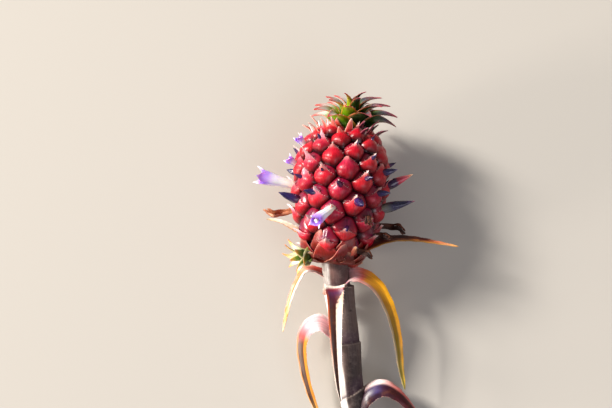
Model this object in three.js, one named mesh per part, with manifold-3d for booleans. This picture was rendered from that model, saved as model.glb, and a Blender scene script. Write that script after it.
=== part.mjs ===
// A cut flowering stem of a small ornamental pineapple: the leafy stalk, the young fruit in
// flower and its leafy crown. Millimetres. It is modelled upright, with its stalk below, and
// then laid on its back with the crown end raised, resting on the fruit and the cut end.
import * as THREE from 'three';
import { mergeVertices } from 'three/addons/utils/BufferGeometryUtils.js';
import Module from 'manifold-3d';

const wasm = await Module();
wasm.setup();

const DEG = Math.PI / 180;
const GOLDEN = 137.5 * DEG;
const GAP = 0.3;

// How the finished stem lies: the tilt of its crown end, its roll, and the shift that brings
// its lowest points onto the floor and the middle of its box over the origin.
const LYING = { tilt: 8.05 * DEG, roll: -1.42 * DEG, shift: [-7.68, 2.53, 14.1] };

// The stalk, from its flat cut up to the seat of the fruit, with the steps of its leaf sheaths.
const STALK = {
  length: 69.5, lean: 9.4, cutRadius: 4.35, topRadius: 5.15, sides: 12, steps: 16,
  sheathStep: 0.5, sheathShare: 0.14, sheaths: [0.06, 0.21, 0.42, 0.72],
  straightShare: 0.45, neckLength: 7,
};

// The fruit: an egg that is widest above its middle, and leans to the right on the stalk.
const FRUIT = {
  seat: 2.2, height: 47.4, lean: 4.5 * DEG, baseRadius: 6.2, widestRadius: 17.4, widestAt: 30,
  topRadius: 8.8, lowerPower: 0.72, upperPower: 2.8, coreShare: 0.86, sides: 18, steps: 9,
};

// The spiral of berries. Each takes less of the surface the nearer it is to the crown.
const EYES = {
  count: 76, turn: -137.8 * DEG, first: 88 * DEG, crowding: 0.8, lift: 14 * DEG,
  sides: 6, sink: 1.2, share: 0.47, bulge: 0.34, beak: { rise: 0.14, depth: 0.14 },
};

// The bracts under the fruit that meet the floor: how much further each tip stands out, or is
// pressed in.
const RESTING = { 15: -1.2, 20: 1.8, 23: -0.5, 28: -1.1, 36: 0.3 };

// The leaves of the crown and of the small side shoot.
const CROWN = {
  leaves: 26, first: -30 * DEG, stemRadius: 6.8, stemTip: 1.6, stemHeight: 7,
  leafLength: 15.5, innerLength: 12.4, leafWidth: 8.2, innerWidth: 3.8,
  rise: 38 * DEG, innerRise: 82 * DEG, curl: 60 * DEG, thickness: 0.7, footRise: 1,
};
const SLIP = {
  leaves: 10, first: 0, stemRadius: 2.2, stemTip: 0.9, stemHeight: 8,
  leafLength: 9.2, innerLength: 8.4, leafWidth: 5.2, innerWidth: 2.6,
  rise: 48 * DEG, innerRise: 76 * DEG, curl: 28 * DEG, thickness: 0.5, footRise: 3,
};

// What every leaf of a shoot shares: where its foot sits, where it bends over and how far its tip
// reaches, in shares of the stem and of its own length.
const SHOOT_LEAF = {
  footShare: 0.7, innerFoot: 0.7, innerSeat: 0.45, bendRise: 12 * DEG, bendAt: 0.55, tipReach: 0.5,
  innerCurl: 0.4, channel: 0.3, steps: 4, stemSides: 10, stemMiddle: 0.58,
};
const CROWN_SEAT = { shift: 1.6, lean: 3 * DEG };
const SLIP_SEAT = { at: [-6.6, -3.6, 0.6], toward: [-0.92, -0.3, -0.26] };

// The kinds of flower: the length, and the radii from the seat to the mouth or tip.
const FLOWERS = {
  open: { length: 13.5, radii: [1.2, 1.5, 1.75, 2.2, 2.5], sides: 8 },
  bud: { length: 6, radii: [1.1, 1.5, 1.35, 0.9], sides: 6 },
  long: { length: 11.5, radii: [1.3, 1.9, 1.8, 1.3, 0.7], sides: 6 },
  withered: { length: 8, radii: [0.8, 1.0, 0.75, 1.1, 0.7], sides: 6 },
};
const PETAL = {
  count: 3, length: 5.2, width: 3.4, flare: 24 * DEG, thickness: 0.6, channel: 0.3, turn: 0.08,
  seatAt: 0.6, footRadius: 1.2, lipRadius: 2.3, lipShare: 0.55, tipShare: 0.8, steps: 3,
};
const FLOWER_SOCKET = 1.2;
const WITHERED_BEND = 0.22;
const FLOWER_SEAT = 0.08;

// How a blade narrows and thins toward its tip.
const BLADE = { taper: 0.3, thinning: 0.7, steps: 9, splitSteps: 5, splitGap: 0.004 };

// Which berries are in flower, counted up the spiral, and how each flower is turned from the
// straight way out: toward the right of its berry, and up.
const IN_FLOWER = [
  { berry: 30, kind: 'open', side: 0, rise: 3, scale: 1.05 },
  { berry: 19, kind: 'open', side: -38, rise: -34, scale: 0.72 },
  { berry: 43, kind: 'open', side: 6, rise: 14, scale: 0.32 },
  { berry: 56, kind: 'open', side: 4, rise: 10, scale: 0.32 },
  { berry: 22, kind: 'bud', side: -14, rise: 14, scale: 1.4 },
  { berry: 27, kind: 'bud', side: -38, rise: 0, scale: 0.8 },
  { berry: 24, kind: 'bud', side: 0, rise: -16, scale: 1.2 },
  { berry: 29, kind: 'bud', side: 22, rise: 0, scale: 0.85 },
  { berry: 42, kind: 'bud', side: 20, rise: 4, scale: 0.95 },
  { berry: 34, kind: 'long', side: 6, rise: 18, scale: 0.95 },
  { berry: 21, kind: 'long', side: 4, rise: 16, scale: 1.12 },
  { berry: 38, kind: 'bud', side: 0, rise: 0, scale: 0.8 },
  { berry: 17, kind: 'withered', side: 0, rise: -14, scale: 1.45 },
  { berry: 13, kind: 'withered', side: 0, rise: 4, scale: 1.35 },
  { berry: 16, kind: 'withered', side: -48, rise: -12, scale: 0.9 },
  { berry: 8, kind: 'withered', side: 12, rise: 22, scale: 0.95 },
  { berry: 3, kind: 'withered', side: 55, rise: 2, scale: 0.95 },
];

// The leaves of the stalk and the long bracts of the fruit. Each follows points from its foot
// to its tip, and its width lies along the directions in across, from foot to tip. A leaf with
// a split is two pieces that part there.
const LEAVES = [
  {
    name: 'leaf_upper_left', look: 'leaf', width: 5.6, thickness: 0.8, channel: 0.35,
    route: [[-2, 1, -6.5], [-7.2, 1.6, -3.6], [-11, 1.6, -3.4], [-14, 1, -7.4], [-16.6, 0, -13.4],
      [-18.4, -1, -20], [-19.8, -2, -26.5]],
    across: [[0.15, 0.85, 0.5], [-0.81, 0.5, 0.25]],
  },
  {
    name: 'leaf_front', look: 'maroon', width: 9, thickness: 0.8, channel: 0.3,
    route: [[0, -2.5, -13], [0, -6.2, -9.4], [-0.2, -8.1, -9.4], [0, -9, -13], [0.1, -8.9, -22],
      [0.6, -7.6, -34], [1.4, -6.5, -45], [2.2, -6, -52.4]],
    across: [[-1, 0, 0], [-0.97, 0.26, 0]],
  },
  {
    name: 'leaf_right', look: 'leaf', width: 9, thickness: 0.8, channel: 0.3, split: 0.42,
    route: [[3, 0, -8.4], [6.4, -0.6, -5.6], [10.8, -1.6, -6], [15.6, -2.3, -9.4], [19.6, -2.8, -16],
      [22.2, -3, -23.5], [23.8, -3, -31.5], [24.8, -3, -40], [26.4, -3, -48.3]],
    across: [[-0.2, -0.7, -0.7], [-1, -0.3, -0.1]],
  },
  {
    name: 'leaf_lower_left', look: 'leaf', width: 9.6, thickness: 0.8, channel: 0.25, split: 0.42,
    route: [[1.5, -2.5, -30], [-2.4, -4.4, -25.4], [-6.4, -4.6, -23.1], [-10.4, -4, -25.6],
      [-12.1, -3.4, -31], [-11.6, -2.8, -39], [-9.6, -2.4, -48], [-6.6, -2.2, -56.5], [-3.4, -2, -64]],
    across: [[0, 0.5, 0.85], [-0.85, 0.5, 0]],
  },
  {
    name: 'leaf_lower_right', look: 'maroon', width: 10.6, thickness: 0.8, channel: -0.35, split: 0.46,
    route: [[7, -1, -56], [12, -3, -49], [18, -4, -46.6], [23.5, -4.4, -49], [28.5, -4.4, -54],
      [32.5, -4, -60], [35, -3.4, -66]],
    across: [[0, -0.6, -0.8], [-0.1, -0.7, -0.7]],
  },
  {
    name: 'leaf_back', look: 'leaf', width: 6, thickness: 0.8, channel: 0.3,
    route: [[0.6, 2.5, -19], [0.4, 6.2, -15.4], [0.5, 8, -15.8], [0.9, 8.4, -20], [1.8, 7.4, -28],
      [3, 6.4, -37], [4, 6, -44]],
    across: [[1, 0, 0], [1, 0, 0]],
  },
  {
    name: 'bract_right', look: 'bract', width: 4.4, thickness: 0.75, channel: 0.4, onFruit: true,
    route: [[7.5, -5, 3.2], [12, -5.2, 5.4], [20.9, -4.6, 8.5], [29.6, -4, 8.6], [38, -3.4, 7.4],
      [46.7, -3, 5.9]],
    across: [[0, -0.85, -0.53], [0, -0.85, -0.53]],
  },
  {
    name: 'bract_left', look: 'cream', width: 3.4, thickness: 0.6, channel: 0.3, onFruit: true,
    route: [[-9.5, -3.5, 9.8], [-15, -4.2, 12.6], [-20.5, -4.2, 15.4], [-26, -3.6, 16.4]],
    across: [[0.05, 0.4, 0.9], [0.05, 0.4, 0.9]],
  },
];

/** A material in the way of a dry or waxy plant surface. */
function finish(color, roughness) {
  return new THREE.MeshStandardMaterial({ color, roughness, metalness: 0 });
}

const LOOK = {
  stalk: finish('#6b5a55', 0.8),
  fruit: finish('#c23440', 0.35),
  green: finish('#5d7a24', 0.45),
  leaf: finish('#c98a3a', 0.5),
  maroon: finish('#7b2f3c', 0.5),
  bract: finish('#8a4a30', 0.6),
  cream: finish('#e6d2b0', 0.6),
  corolla: finish('#c9b4ee', 0.5),
  bud: finish('#33205e', 0.35),
  withered: finish('#6e3a1f', 0.8),
};

/** The stated geometry as a solid that can be joined and cut. */
function solid(geometry) {
  const bare = geometry.clone();
  bare.deleteAttribute('normal');
  bare.deleteAttribute('uv');
  const merged = mergeVertices(bare, 1e-4);
  return new wasm.Manifold(new wasm.Mesh({
    numProp: 3,
    vertProperties: new Float32Array(merged.attributes.position.array),
    triVerts: new Uint32Array(merged.index.array),
  }));
}

/** The outer skin of a joined solid, without loose scraps and sealed hollows. */
function wholeBody(joined) {
  return joined.decompose().reduce((best, body) => (body.volume() > best.volume() ? body : best));
}

/** A joined solid as a geometry. */
function geometryOf(joined) {
  const mesh = wholeBody(joined).getMesh();
  const geometry = new THREE.BufferGeometry();
  geometry.setAttribute('position', new THREE.BufferAttribute(mesh.vertProperties, 3));
  geometry.setIndex(new THREE.BufferAttribute(mesh.triVerts, 1));
  geometry.computeVertexNormals();
  return geometry;
}

/**
 * A closed skin over rings of points, each ring turning the right-handed way about the line of
 * travel. Both ends are closed flat, or the far end runs out to a tip point.
 */
function loft(rings, tip) {
  const count = rings[0].length;
  const points = rings.flat();
  const faces = [];
  for (let i = 0; i + 1 < rings.length; i += 1) {
    for (let j = 0; j < count; j += 1) {
      const a = i * count + j;
      const b = i * count + ((j + 1) % count);
      faces.push(a, b, b + count, a, b + count, a + count);
    }
  }
  const cap = (start, flip) => {
    for (let j = 0; j < count / 2; j += 1) {
      const low = [j, j + 1];
      const high = [(count - j) % count, (count - j - 1) % count];
      const quads = [[low[0], low[1], high[1]], [low[0], high[1], high[0]]];
      quads.filter(([a, b, c]) => a !== b && b !== c && a !== c).forEach(([a, b, c]) => {
        const turned = flip ? [a, c, b] : [a, b, c];
        faces.push(...turned.map((index) => start + index));
      });
    }
  };
  cap(0, true);
  const last = (rings.length - 1) * count;
  if (tip) {
    points.push(tip);
    for (let j = 0; j < count; j += 1) {
      faces.push(points.length - 1, last + j, last + ((j + 1) % count));
    }
  } else {
    cap(last, false);
  }
  const geometry = new THREE.BufferGeometry();
  const places = points.flatMap((point) => [...point]);
  geometry.setAttribute('position', new THREE.Float32BufferAttribute(places, 3));
  geometry.setIndex(faces);
  geometry.computeVertexNormals();
  return geometry;
}

/**
 * Directions at a place on a curve, for a blade whose width lies near the given direction: along
 * it, across it, and out of the side that its channel opens to.
 */
function frameAt(curve, t, wide) {
  const along = curve.getTangent(t);
  const across = wide.clone().addScaledVector(along, -along.dot(wide)).normalize();
  return { point: curve.getPoint(t), along, across, face: across.clone().cross(along) };
}

/** A round ring of points, for a tube or a spindle. */
function roundRing({ point, across, face }, radius, sides) {
  return Array.from({ length: sides }, (_, j) => {
    const angle = (j / sides) * 2 * Math.PI;
    return point.clone()
      .addScaledVector(across, radius * Math.cos(angle))
      .addScaledVector(face, -radius * Math.sin(angle));
  });
}

/** A tube, spindle or bud along a curve, with its radii listed from its base to its tip. */
function spindle(curve, radii, sides, wide, grow = 0) {
  const rings = radii.map((radius, i) => {
    const frame = frameAt(curve, i / radii.length, wide);
    if (i === 0) {
      frame.point.addScaledVector(frame.along, -grow);
    }
    return roundRing(frame, radius + grow, sides);
  });
  return loft(rings, curve.getPoint(1).addScaledVector(curve.getTangent(1), grow));
}

/**
 * A channelled blade along a curve: a leaf, bract or petal, whose edges rise to the side that it
 * opens to. It runs from one share of the curve to another, and ends in a point at the curve's
 * own end. With grow it is the same blade with a margin all round.
 */
function blade(shape, grow = 0) {
  const {
    curve, across, width, thickness, channel, steps = BLADE.steps, fine = true, from = 0, to = 1,
  } = shape;
  const places = fine ? [1, 0.5, 0, -0.5, -1, -0.5, 0, 0.5] : [1, 0, -1, 0];
  const half = places.length / 2;
  const [first, last] = across;
  const pointed = to === 1;
  const rings = Array.from({ length: pointed ? steps : steps + 1 }, (_, i) => {
    const t = from + ((to - from) * i) / steps;
    const frame = frameAt(curve, t, first.clone().lerp(last, t));
    if (i === 0) {
      frame.point.addScaledVector(frame.along, -grow);
    }
    const taper = Math.sqrt(1 - t) * (1 - BLADE.taper * t);
    const reach = 0.5 * width * taper;
    const depth = 0.5 * thickness * Math.sqrt(1 - BLADE.thinning * t);
    return places.map((u, j) => {
      const side = j % half === 0 ? 0 : Math.sign(j - half);
      return frame.point.clone()
        .addScaledVector(frame.across, u * (reach + grow))
        .addScaledVector(frame.face, channel * reach * u * u + side * (depth + grow));
    });
  });
  const tip = pointed ? curve.getPoint(1).addScaledVector(curve.getTangent(1), grow) : undefined;
  return solid(loft(rings, tip));
}

/** A smooth curve through points given as [x, y, z]. */
function through(...points) {
  return new THREE.CatmullRomCurve3(points.map((p) => new THREE.Vector3(...p)));
}

/** The radius of the fruit's outline at a height above its seat. */
function outline(height) {
  const { baseRadius, widestRadius, widestAt, topRadius, lowerPower, upperPower } = FRUIT;
  if (height < widestAt) {
    const rise = Math.sin((Math.PI / 2) * (Math.max(height, 0) / widestAt) ** lowerPower);
    return baseRadius + (widestRadius - baseRadius) * rise;
  }
  const fall = ((height - widestAt) / (FRUIT.height - widestAt)) ** upperPower;
  return widestRadius - (widestRadius - topRadius) * fall;
}

/** The heights and widths of the berries, from shares of the fruit's skin. */
function berryRows() {
  const slices = 400;
  const step = FRUIT.height / slices;
  const heights = Array.from({ length: slices }, (_, i) => (i + 0.5) * step);
  const crowd = (height) => 1 + EYES.crowding * (height / FRUIT.height) ** 2;
  const skin = (height) => {
    const slope = (outline(height + step / 2) - outline(height - step / 2)) / step;
    return 2 * Math.PI * outline(height) * Math.hypot(1, slope) * step;
  };
  const total = heights.reduce((sum, height) => sum + skin(height) * crowd(height), 0);
  const rows = [];
  let sum = 0;
  heights.forEach((height) => {
    sum += skin(height) * crowd(height);
    while (rows.length < EYES.count && sum >= ((rows.length + 0.5) / EYES.count) * total) {
      const area = total / EYES.count / crowd(height);
      rows.push({ height, pitch: Math.sqrt(area / 0.866) });
    }
  });
  return rows;
}

/** The place of every berry: its centre on the core and its own three directions. */
function berries() {
  return berryRows().map(({ height, pitch }, k) => {
    const angle = EYES.first + k * EYES.turn;
    const outward = new THREE.Vector3(Math.sin(angle), -Math.cos(angle), 0);
    const slope = (outline(height + 0.5) - outline(height - 0.5));
    const up = new THREE.Vector3(0, 0, 1).addScaledVector(outward, slope).normalize();
    const side = up.clone().cross(outward).normalize();
    const flat = side.clone().cross(up).normalize();
    const out = flat.clone().applyAxisAngle(side, -EYES.lift);
    const centre = outward.clone().multiplyScalar(outline(height) * FRUIT.coreShare).setZ(height);
    return { centre, out, side, up: out.clone().cross(side).normalize(), pitch };
  });
}

/** A point of a berry, from its place across, upward and outward in shares of the pitch. */
function onBerry({ centre, out, side, up, pitch }, across, rise, depth) {
  return centre.clone()
    .addScaledVector(side, across * pitch)
    .addScaledVector(up, rise * pitch)
    .addScaledVector(out, depth * pitch);
}

/**
 * A berry: a rounded boss whose lower half is its pointed bract. The bract's tip stands up below
 * the middle, and the seat of the flower is above it.
 */
function berrySolid(berry, k) {
  const { bulge, share, sides, beak } = EYES;
  const tipDepth = beak.depth + (RESTING[k] ?? 0) / berry.pitch;
  const profile = [
    { depth: -EYES.sink / berry.pitch, radius: 0.86 * share, rise: 0 },
    { depth: 0.25 * bulge, radius: share, rise: 0 },
    { depth: 0.78 * bulge, radius: 0.8 * share, rise: 0.02 },
    { depth: bulge, radius: 0.42 * share, rise: 0.06 },
  ];
  const ringOf = ({ depth, radius, rise }, ring) => Array.from({ length: sides }, (_, j) => {
    const angle = ((j - 0.5) / sides) * 2 * Math.PI - 60 * DEG;
    const isTip = ring === profile.length - 1 && j === 0;
    const up = rise + radius * Math.sin(angle) + (isTip ? beak.rise : 0);
    return onBerry(berry, radius * Math.cos(angle), up, depth + (isTip ? tipDepth : 0));
  });
  return solid(loft(profile.map(ringOf)));
}

/** The joined leaves of a shoot that opens along +Z from its seat at the origin. */
function rosette(shoot, grow = 0) {
  const { leaves, stemRadius, stemTip, stemHeight, thickness, footRise } = shoot;
  const {
    footShare, innerFoot, innerSeat, bendRise, bendAt, tipReach, innerCurl, channel, steps, stemSides,
    stemMiddle,
  } = SHOOT_LEAF;
  const stem = new THREE.LineCurve3(new THREE.Vector3(0, 0, 0), new THREE.Vector3(0, 0, stemHeight));
  const radii = [stemRadius, stemMiddle * (stemRadius + stemTip), stemTip];
  const pieces = [solid(spindle(stem, radii, stemSides, new THREE.Vector3(1, 0, 0), grow))];
  for (let i = 0; i < leaves; i += 1) {
    const t = i / (leaves - 1);
    const mix = (outer, inner) => outer + (inner - outer) * t;
    const turn = shoot.first + i * GOLDEN;
    const radial = new THREE.Vector3(Math.sin(turn), -Math.cos(turn), 0);
    const slanted = (angle) => radial.clone().multiplyScalar(Math.cos(angle)).setZ(Math.sin(angle));
    const length = mix(shoot.leafLength, shoot.innerLength);
    const rise = mix(shoot.rise, shoot.innerRise);
    const foot = radial.clone()
      .multiplyScalar(mix(footShare * stemRadius, innerFoot))
      .setZ(mix(footRise, innerSeat * stemHeight));
    const bend = foot.clone().addScaledVector(slanted(rise + bendRise), bendAt * length);
    const fall = rise - mix(shoot.curl, innerCurl * shoot.curl);
    const tip = bend.clone().addScaledVector(slanted(fall), tipReach * length);
    const wide = radial.clone().cross(new THREE.Vector3(0, 0, 1));
    pieces.push(blade({
      curve: new THREE.QuadraticBezierCurve3(foot, bend, tip), across: [wide, wide],
      width: mix(shoot.leafWidth, shoot.innerWidth), thickness, channel, steps, fine: false,
    }, grow));
  }
  return wasm.Manifold.union(pieces);
}

/** The matrix that turns +Z to a direction and puts the origin at a point. */
function placing(point, direction) {
  const turn = new THREE.Quaternion().setFromUnitVectors(new THREE.Vector3(0, 0, 1), direction);
  return new THREE.Matrix4().compose(point, turn, new THREE.Vector3(1, 1, 1));
}

/** A flower that stands along +Z from its seat, sunk a little into the berry. */
function flowerSolid({ kind, scale = 1 }, grow = 0) {
  const { length, radii, sides } = FLOWERS[kind];
  const top = length * scale;
  const bent = kind === 'withered' ? WITHERED_BEND * top : 0;
  const size = Math.sqrt(scale);
  const curve = through(
    [0, 0, -FLOWER_SOCKET],
    [0, 0.6 * bent, 0.4 * top],
    [0, -0.5 * bent, 0.72 * top],
    [0.8 * bent, 0, top],
  );
  const wide = new THREE.Vector3(1, 0, 0);
  const tube = solid(spindle(curve, radii.map((radius) => radius * size), sides, wide, grow));
  if (kind !== 'open') {
    return tube;
  }
  const petals = Array.from({ length: PETAL.count }, (_, i) => {
    const angle = (i / PETAL.count + PETAL.turn) * 2 * Math.PI;
    const radial = new THREE.Vector3(Math.cos(angle), Math.sin(angle), 0);
    const seat = PETAL.seatAt * top;
    const foot = radial.clone().multiplyScalar(PETAL.footRadius * size).setZ(seat);
    const lip = radial.clone()
      .multiplyScalar(PETAL.lipRadius * size)
      .setZ(seat + PETAL.lipShare * PETAL.length * size);
    const reach = radial.clone().multiplyScalar(Math.tan(PETAL.flare)).setZ(1).normalize();
    const tip = lip.clone().addScaledVector(reach, PETAL.tipShare * PETAL.length * size);
    const across = radial.clone().cross(new THREE.Vector3(0, 0, 1));
    return blade({
      curve: new THREE.QuadraticBezierCurve3(foot, lip, tip), across: [across, across],
      width: PETAL.width * size, thickness: PETAL.thickness, channel: PETAL.channel,
      steps: PETAL.steps, fine: false,
    }, grow);
  });
  return wasm.Manifold.union([tube, ...petals]);
}

/** Where a flower stands: its seat on the berry, turned from the straight way out. */
function flowerPlace(spiral, { berry, side, rise }) {
  const place = spiral[berry];
  const aim = place.out.clone()
    .applyAxisAngle(place.side, rise * -DEG)
    .applyAxisAngle(place.up, side * DEG);
  return placing(onBerry(place, 0, FLOWER_SEAT, EYES.bulge), aim);
}

/** The stalk as rings along its route, with a small step at every leaf sheath. */
function stalkSolid(grow = 0) {
  const { length, lean, cutRadius, topRadius, sides, steps } = STALK;
  const foot = new THREE.Vector3(lean, 0, -length);
  const top = new THREE.Vector3(0, 0, FRUIT.seat - GAP);
  const leaning = foot.clone().normalize();
  const neck = new THREE.Vector3(-Math.sin(FRUIT.lean), 0, -Math.cos(FRUIT.lean));
  const route = new THREE.CubicBezierCurve3(
    foot,
    foot.clone().addScaledVector(leaning, -STALK.straightShare * length),
    top.clone().addScaledVector(neck, STALK.neckLength),
    top,
  );
  const rings = Array.from({ length: steps + 1 }, (_, i) => {
    const t = i / steps;
    const below = Math.min(...STALK.sheaths.filter((at) => at >= t).map((at) => at - t), 1);
    const step = STALK.sheathStep * Math.max(0, 1 - below / STALK.sheathShare);
    const radius = cutRadius + (topRadius - cutRadius) * t + step + grow;
    return roundRing(frameAt(route, t, new THREE.Vector3(0, 1, 0)), radius, sides);
  });
  return solid(loft(rings));
}

const plant = new THREE.Group();
const upright = new THREE.Group();
const head = new THREE.Group();
head.position.z = FRUIT.seat;
head.rotation.y = FRUIT.lean;
head.updateMatrix();
upright.add(head);
plant.add(upright);

/** Adds a named mesh to a group, at a place in it. */
function add(group, name, joined, material, matrix = new THREE.Matrix4()) {
  const mesh = new THREE.Mesh(geometryOf(joined), material);
  mesh.name = name;
  mesh.applyMatrix4(matrix);
  group.add(mesh);
}

/** A solid moved by a matrix. */
function moved(joined, matrix) {
  return solid(geometryOf(joined).applyMatrix4(matrix));
}

const spiral = berries();
const core = new THREE.LatheGeometry([
  new THREE.Vector2(0, 0),
  ...Array.from({ length: FRUIT.steps + 1 }, (_, i) => {
    const height = (i / FRUIT.steps) * FRUIT.height;
    return new THREE.Vector2(outline(height) * FRUIT.coreShare, height);
  }),
  new THREE.Vector2(0, FRUIT.height),
], FRUIT.sides).rotateX(90 * DEG);
const toHead = head.matrix.clone().invert();
const seats = [moved(stalkSolid(GAP), toHead)];

const stalk = stalkSolid();
const stalkRoom = stalkSolid(GAP);
add(upright, 'stalk', stalk, LOOK.stalk);

LEAVES.forEach((leaf) => {
  const across = leaf.across.map((direction) => new THREE.Vector3(...direction).normalize());
  const shape = { ...leaf, curve: through(...leaf.route), across };
  const { splitGap } = BLADE;
  const spans = leaf.split ? [[0, leaf.split - splitGap], [leaf.split + splitGap, 1]] : [[0, 1]];
  spans.forEach(([from, to], i) => {
    const name = leaf.split ? `${leaf.name}_${'ab'[i]}` : leaf.name;
    const steps = leaf.split ? BLADE.splitSteps : BLADE.steps;
    const piece = blade({ ...shape, from, to, steps });
    add(upright, name, piece.subtract(stalkRoom), LOOK[leaf.look]);
  });
  if (leaf.onFruit) {
    seats.push(moved(blade(shape, GAP), toHead));
  }
});

const crownPlace = placing(
  new THREE.Vector3(CROWN_SEAT.shift, 0, FRUIT.height + GAP),
  new THREE.Vector3(Math.sin(CROWN_SEAT.lean), 0, Math.cos(CROWN_SEAT.lean)),
);
add(head, 'crown', rosette(CROWN), LOOK.green, crownPlace);
seats.push(moved(rosette(CROWN, GAP), crownPlace));

const slipSeat = new THREE.Vector3(...SLIP_SEAT.at);
const slipPlace = placing(slipSeat, new THREE.Vector3(...SLIP_SEAT.toward).normalize());
add(head, 'slip', rosette(SLIP), LOOK.green, slipPlace);
seats.push(moved(rosette(SLIP, GAP), slipPlace));

const looks = { open: LOOK.corolla, bud: LOOK.bud, long: LOOK.bud, withered: LOOK.withered };
const counts = {};
IN_FLOWER.forEach((flower) => {
  counts[flower.kind] = (counts[flower.kind] ?? 0) + 1;
  const place = flowerPlace(spiral, flower);
  const name = `flower_${flower.kind}_${counts[flower.kind]}`;
  add(head, name, flowerSolid(flower), looks[flower.kind], place);
  seats.push(moved(flowerSolid(flower, GAP), place));
});

const joined = wasm.Manifold.union([solid(core), ...spiral.map(berrySolid)]);
add(head, 'fruit', joined.subtract(wasm.Manifold.union(seats)), LOOK.fruit);

upright.rotation.set(-90 * DEG + LYING.tilt, 0, LYING.roll, 'XYZ');
upright.position.set(...LYING.shift);

export default plant;
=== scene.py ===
"""Dresses the cut flowering stem of a small ornamental pineapple around its solids.

Shapes are worked out in millimetres in the frame of the upright plant: X to the right, Z up
along the plant and -Y toward the viewer. They are then laid down as the solids lie.
"""

import logging
import math
from dataclasses import dataclass, field, replace
from enum import Enum

import bmesh
import bpy
import numpy as np
from mathutils import Matrix, Vector


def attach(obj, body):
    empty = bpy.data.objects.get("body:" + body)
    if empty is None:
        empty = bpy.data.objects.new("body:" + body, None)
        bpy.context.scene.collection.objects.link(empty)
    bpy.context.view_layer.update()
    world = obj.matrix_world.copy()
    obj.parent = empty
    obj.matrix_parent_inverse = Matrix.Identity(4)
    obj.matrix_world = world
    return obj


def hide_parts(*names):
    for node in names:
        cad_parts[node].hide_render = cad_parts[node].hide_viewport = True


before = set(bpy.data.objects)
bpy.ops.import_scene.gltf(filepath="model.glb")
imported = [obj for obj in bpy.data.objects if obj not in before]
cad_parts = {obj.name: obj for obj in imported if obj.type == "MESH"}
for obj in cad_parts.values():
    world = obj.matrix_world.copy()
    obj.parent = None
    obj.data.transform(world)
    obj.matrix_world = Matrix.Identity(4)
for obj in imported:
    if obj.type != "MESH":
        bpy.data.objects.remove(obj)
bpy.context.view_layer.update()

Array = np.ndarray
LOG = logging.getLogger("stem")
MM = 0.001
BODY = "root"
TINT = "tint"
FIBRE = "fibre"
GOLDEN = math.radians(137.5)
UP = np.array([0.0, 0.0, 1.0])
# The colour between the streaks of the grain is this much brighter. The mix node's colours are
# reached by number, because its sockets share their names.
WHITE = (1, 1, 1, 1)
UNSTREAKED = 1.12
MIX_FIRST, MIX_SECOND, MIX_RESULT = 6, 7, 2
# A blade ripples so many times from foot to tip, and a ragged margin repeats after so many
# millimetres. The grain of its back is moved by so many from that of its face.
RIPPLES = 9
NOTCH_GAP = 1.7
BACK_GRAIN = 7.3
# The steps of angle in a berry's rim, a hexagon's area in squares of its width, and how far a
# berry's middle stands out, in pitches.
RIM_STEPS = 72
HEXAGON_AREA = 0.866
BERRY_BULGE = 0.34


# Numbers and directions.


def linear(code: str) -> Array:
    """A colour written as six hex digits, as linear light."""
    shown = np.array([int(code[i : i + 2], 16) / 255 for i in (0, 2, 4)])
    return np.where(shown <= 0.04045, shown / 12.92, ((shown + 0.055) / 1.055) ** 2.4)


def unit(v: Array) -> Array:
    """The vectors of an array, each of length one."""
    return v / np.maximum(np.linalg.norm(v, axis=-1, keepdims=True), 1e-9)


def ease(low: float, high: float, x: Array) -> Array:
    """A smooth step from 0 at low to 1 at high."""
    t = np.clip((np.asarray(x, float) - low) / (high - low), 0, 1)
    return t * t * (3 - 2 * t)


def turned(v: Array, axis: Array, angle: float) -> Array:
    """A vector turned about an axis.

    Args:
        v: the vector.
        axis: the axis, of length one.
        angle: the angle in radians, right-handed.

    Returns:
        The turned vector.
    """
    cos, sin = math.cos(angle), math.sin(angle)
    return v * cos + np.cross(axis, v) * sin + axis * np.dot(axis, v) * (1 - cos)


def toward(direction: Array) -> Array:
    """The shortest turn that brings +Z to a direction, as a 3 by 3 matrix."""
    return np.array(Vector(UP).rotation_difference(Vector(direction)).to_matrix())


def turn_x(angle: float) -> Array:
    """A turn about X."""
    return np.array(Matrix.Rotation(angle, 3, "X"))


def turn_y(angle: float) -> Array:
    """A turn about Y."""
    return np.array(Matrix.Rotation(angle, 3, "Y"))


def turn_z(angle: float) -> Array:
    """A turn about Z."""
    return np.array(Matrix.Rotation(angle, 3, "Z"))


@dataclass(frozen=True)
class Gradient:
    """Colours along a span, written as places in percent, each followed by its colour."""

    stops: str

    def at(self, t: Array) -> Array:
        """The colours at these shares of the span.

        Args:
            t: the shares, from 0 to 1.

        Returns:
            The colours, as linear light.
        """
        words = self.stops.split()
        places = [int(word) / 100 for word in words[::2]]
        colours = np.array([linear(code) for code in words[1::2]])
        t = np.asarray(t, float)
        return np.stack([np.interp(t, places, colours[:, i]) for i in range(3)], axis=-1)


def section(columns: int) -> tuple[Array, Array]:
    """The ring of points round a thin sheet.

    Args:
        columns: how many points span each face, with both margins.

    Returns:
        Their places across from 1 to -1 and back, and 1 on the first face or -1 on the second.
    """
    half = np.cos(np.linspace(0, math.pi, columns))
    across = np.concatenate([half, half[::-1][1:-1]])
    return across, np.concatenate([np.ones(columns), -np.ones(columns - 2)])


def around(count: int) -> Array:
    """Even angles round a circle, as many as asked."""
    return np.linspace(0, 2 * math.pi, count, endpoint=False)


def steps(count: int, power: float) -> Array:
    """Shares of a length from 0 on, closer together toward its end, which is left out."""
    return 1 - (1 - np.linspace(0, 1, count + 1)[:-1]) ** power


def blend(colour: Array, other: str, share: Array | float) -> Array:
    """Colours mixed with a share of another one."""
    return colour + (linear(other) - colour) * share


def plain(code: str) -> Gradient:
    """A gradient of one colour."""
    return Gradient(f"0 {code}")


# Frames.


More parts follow.
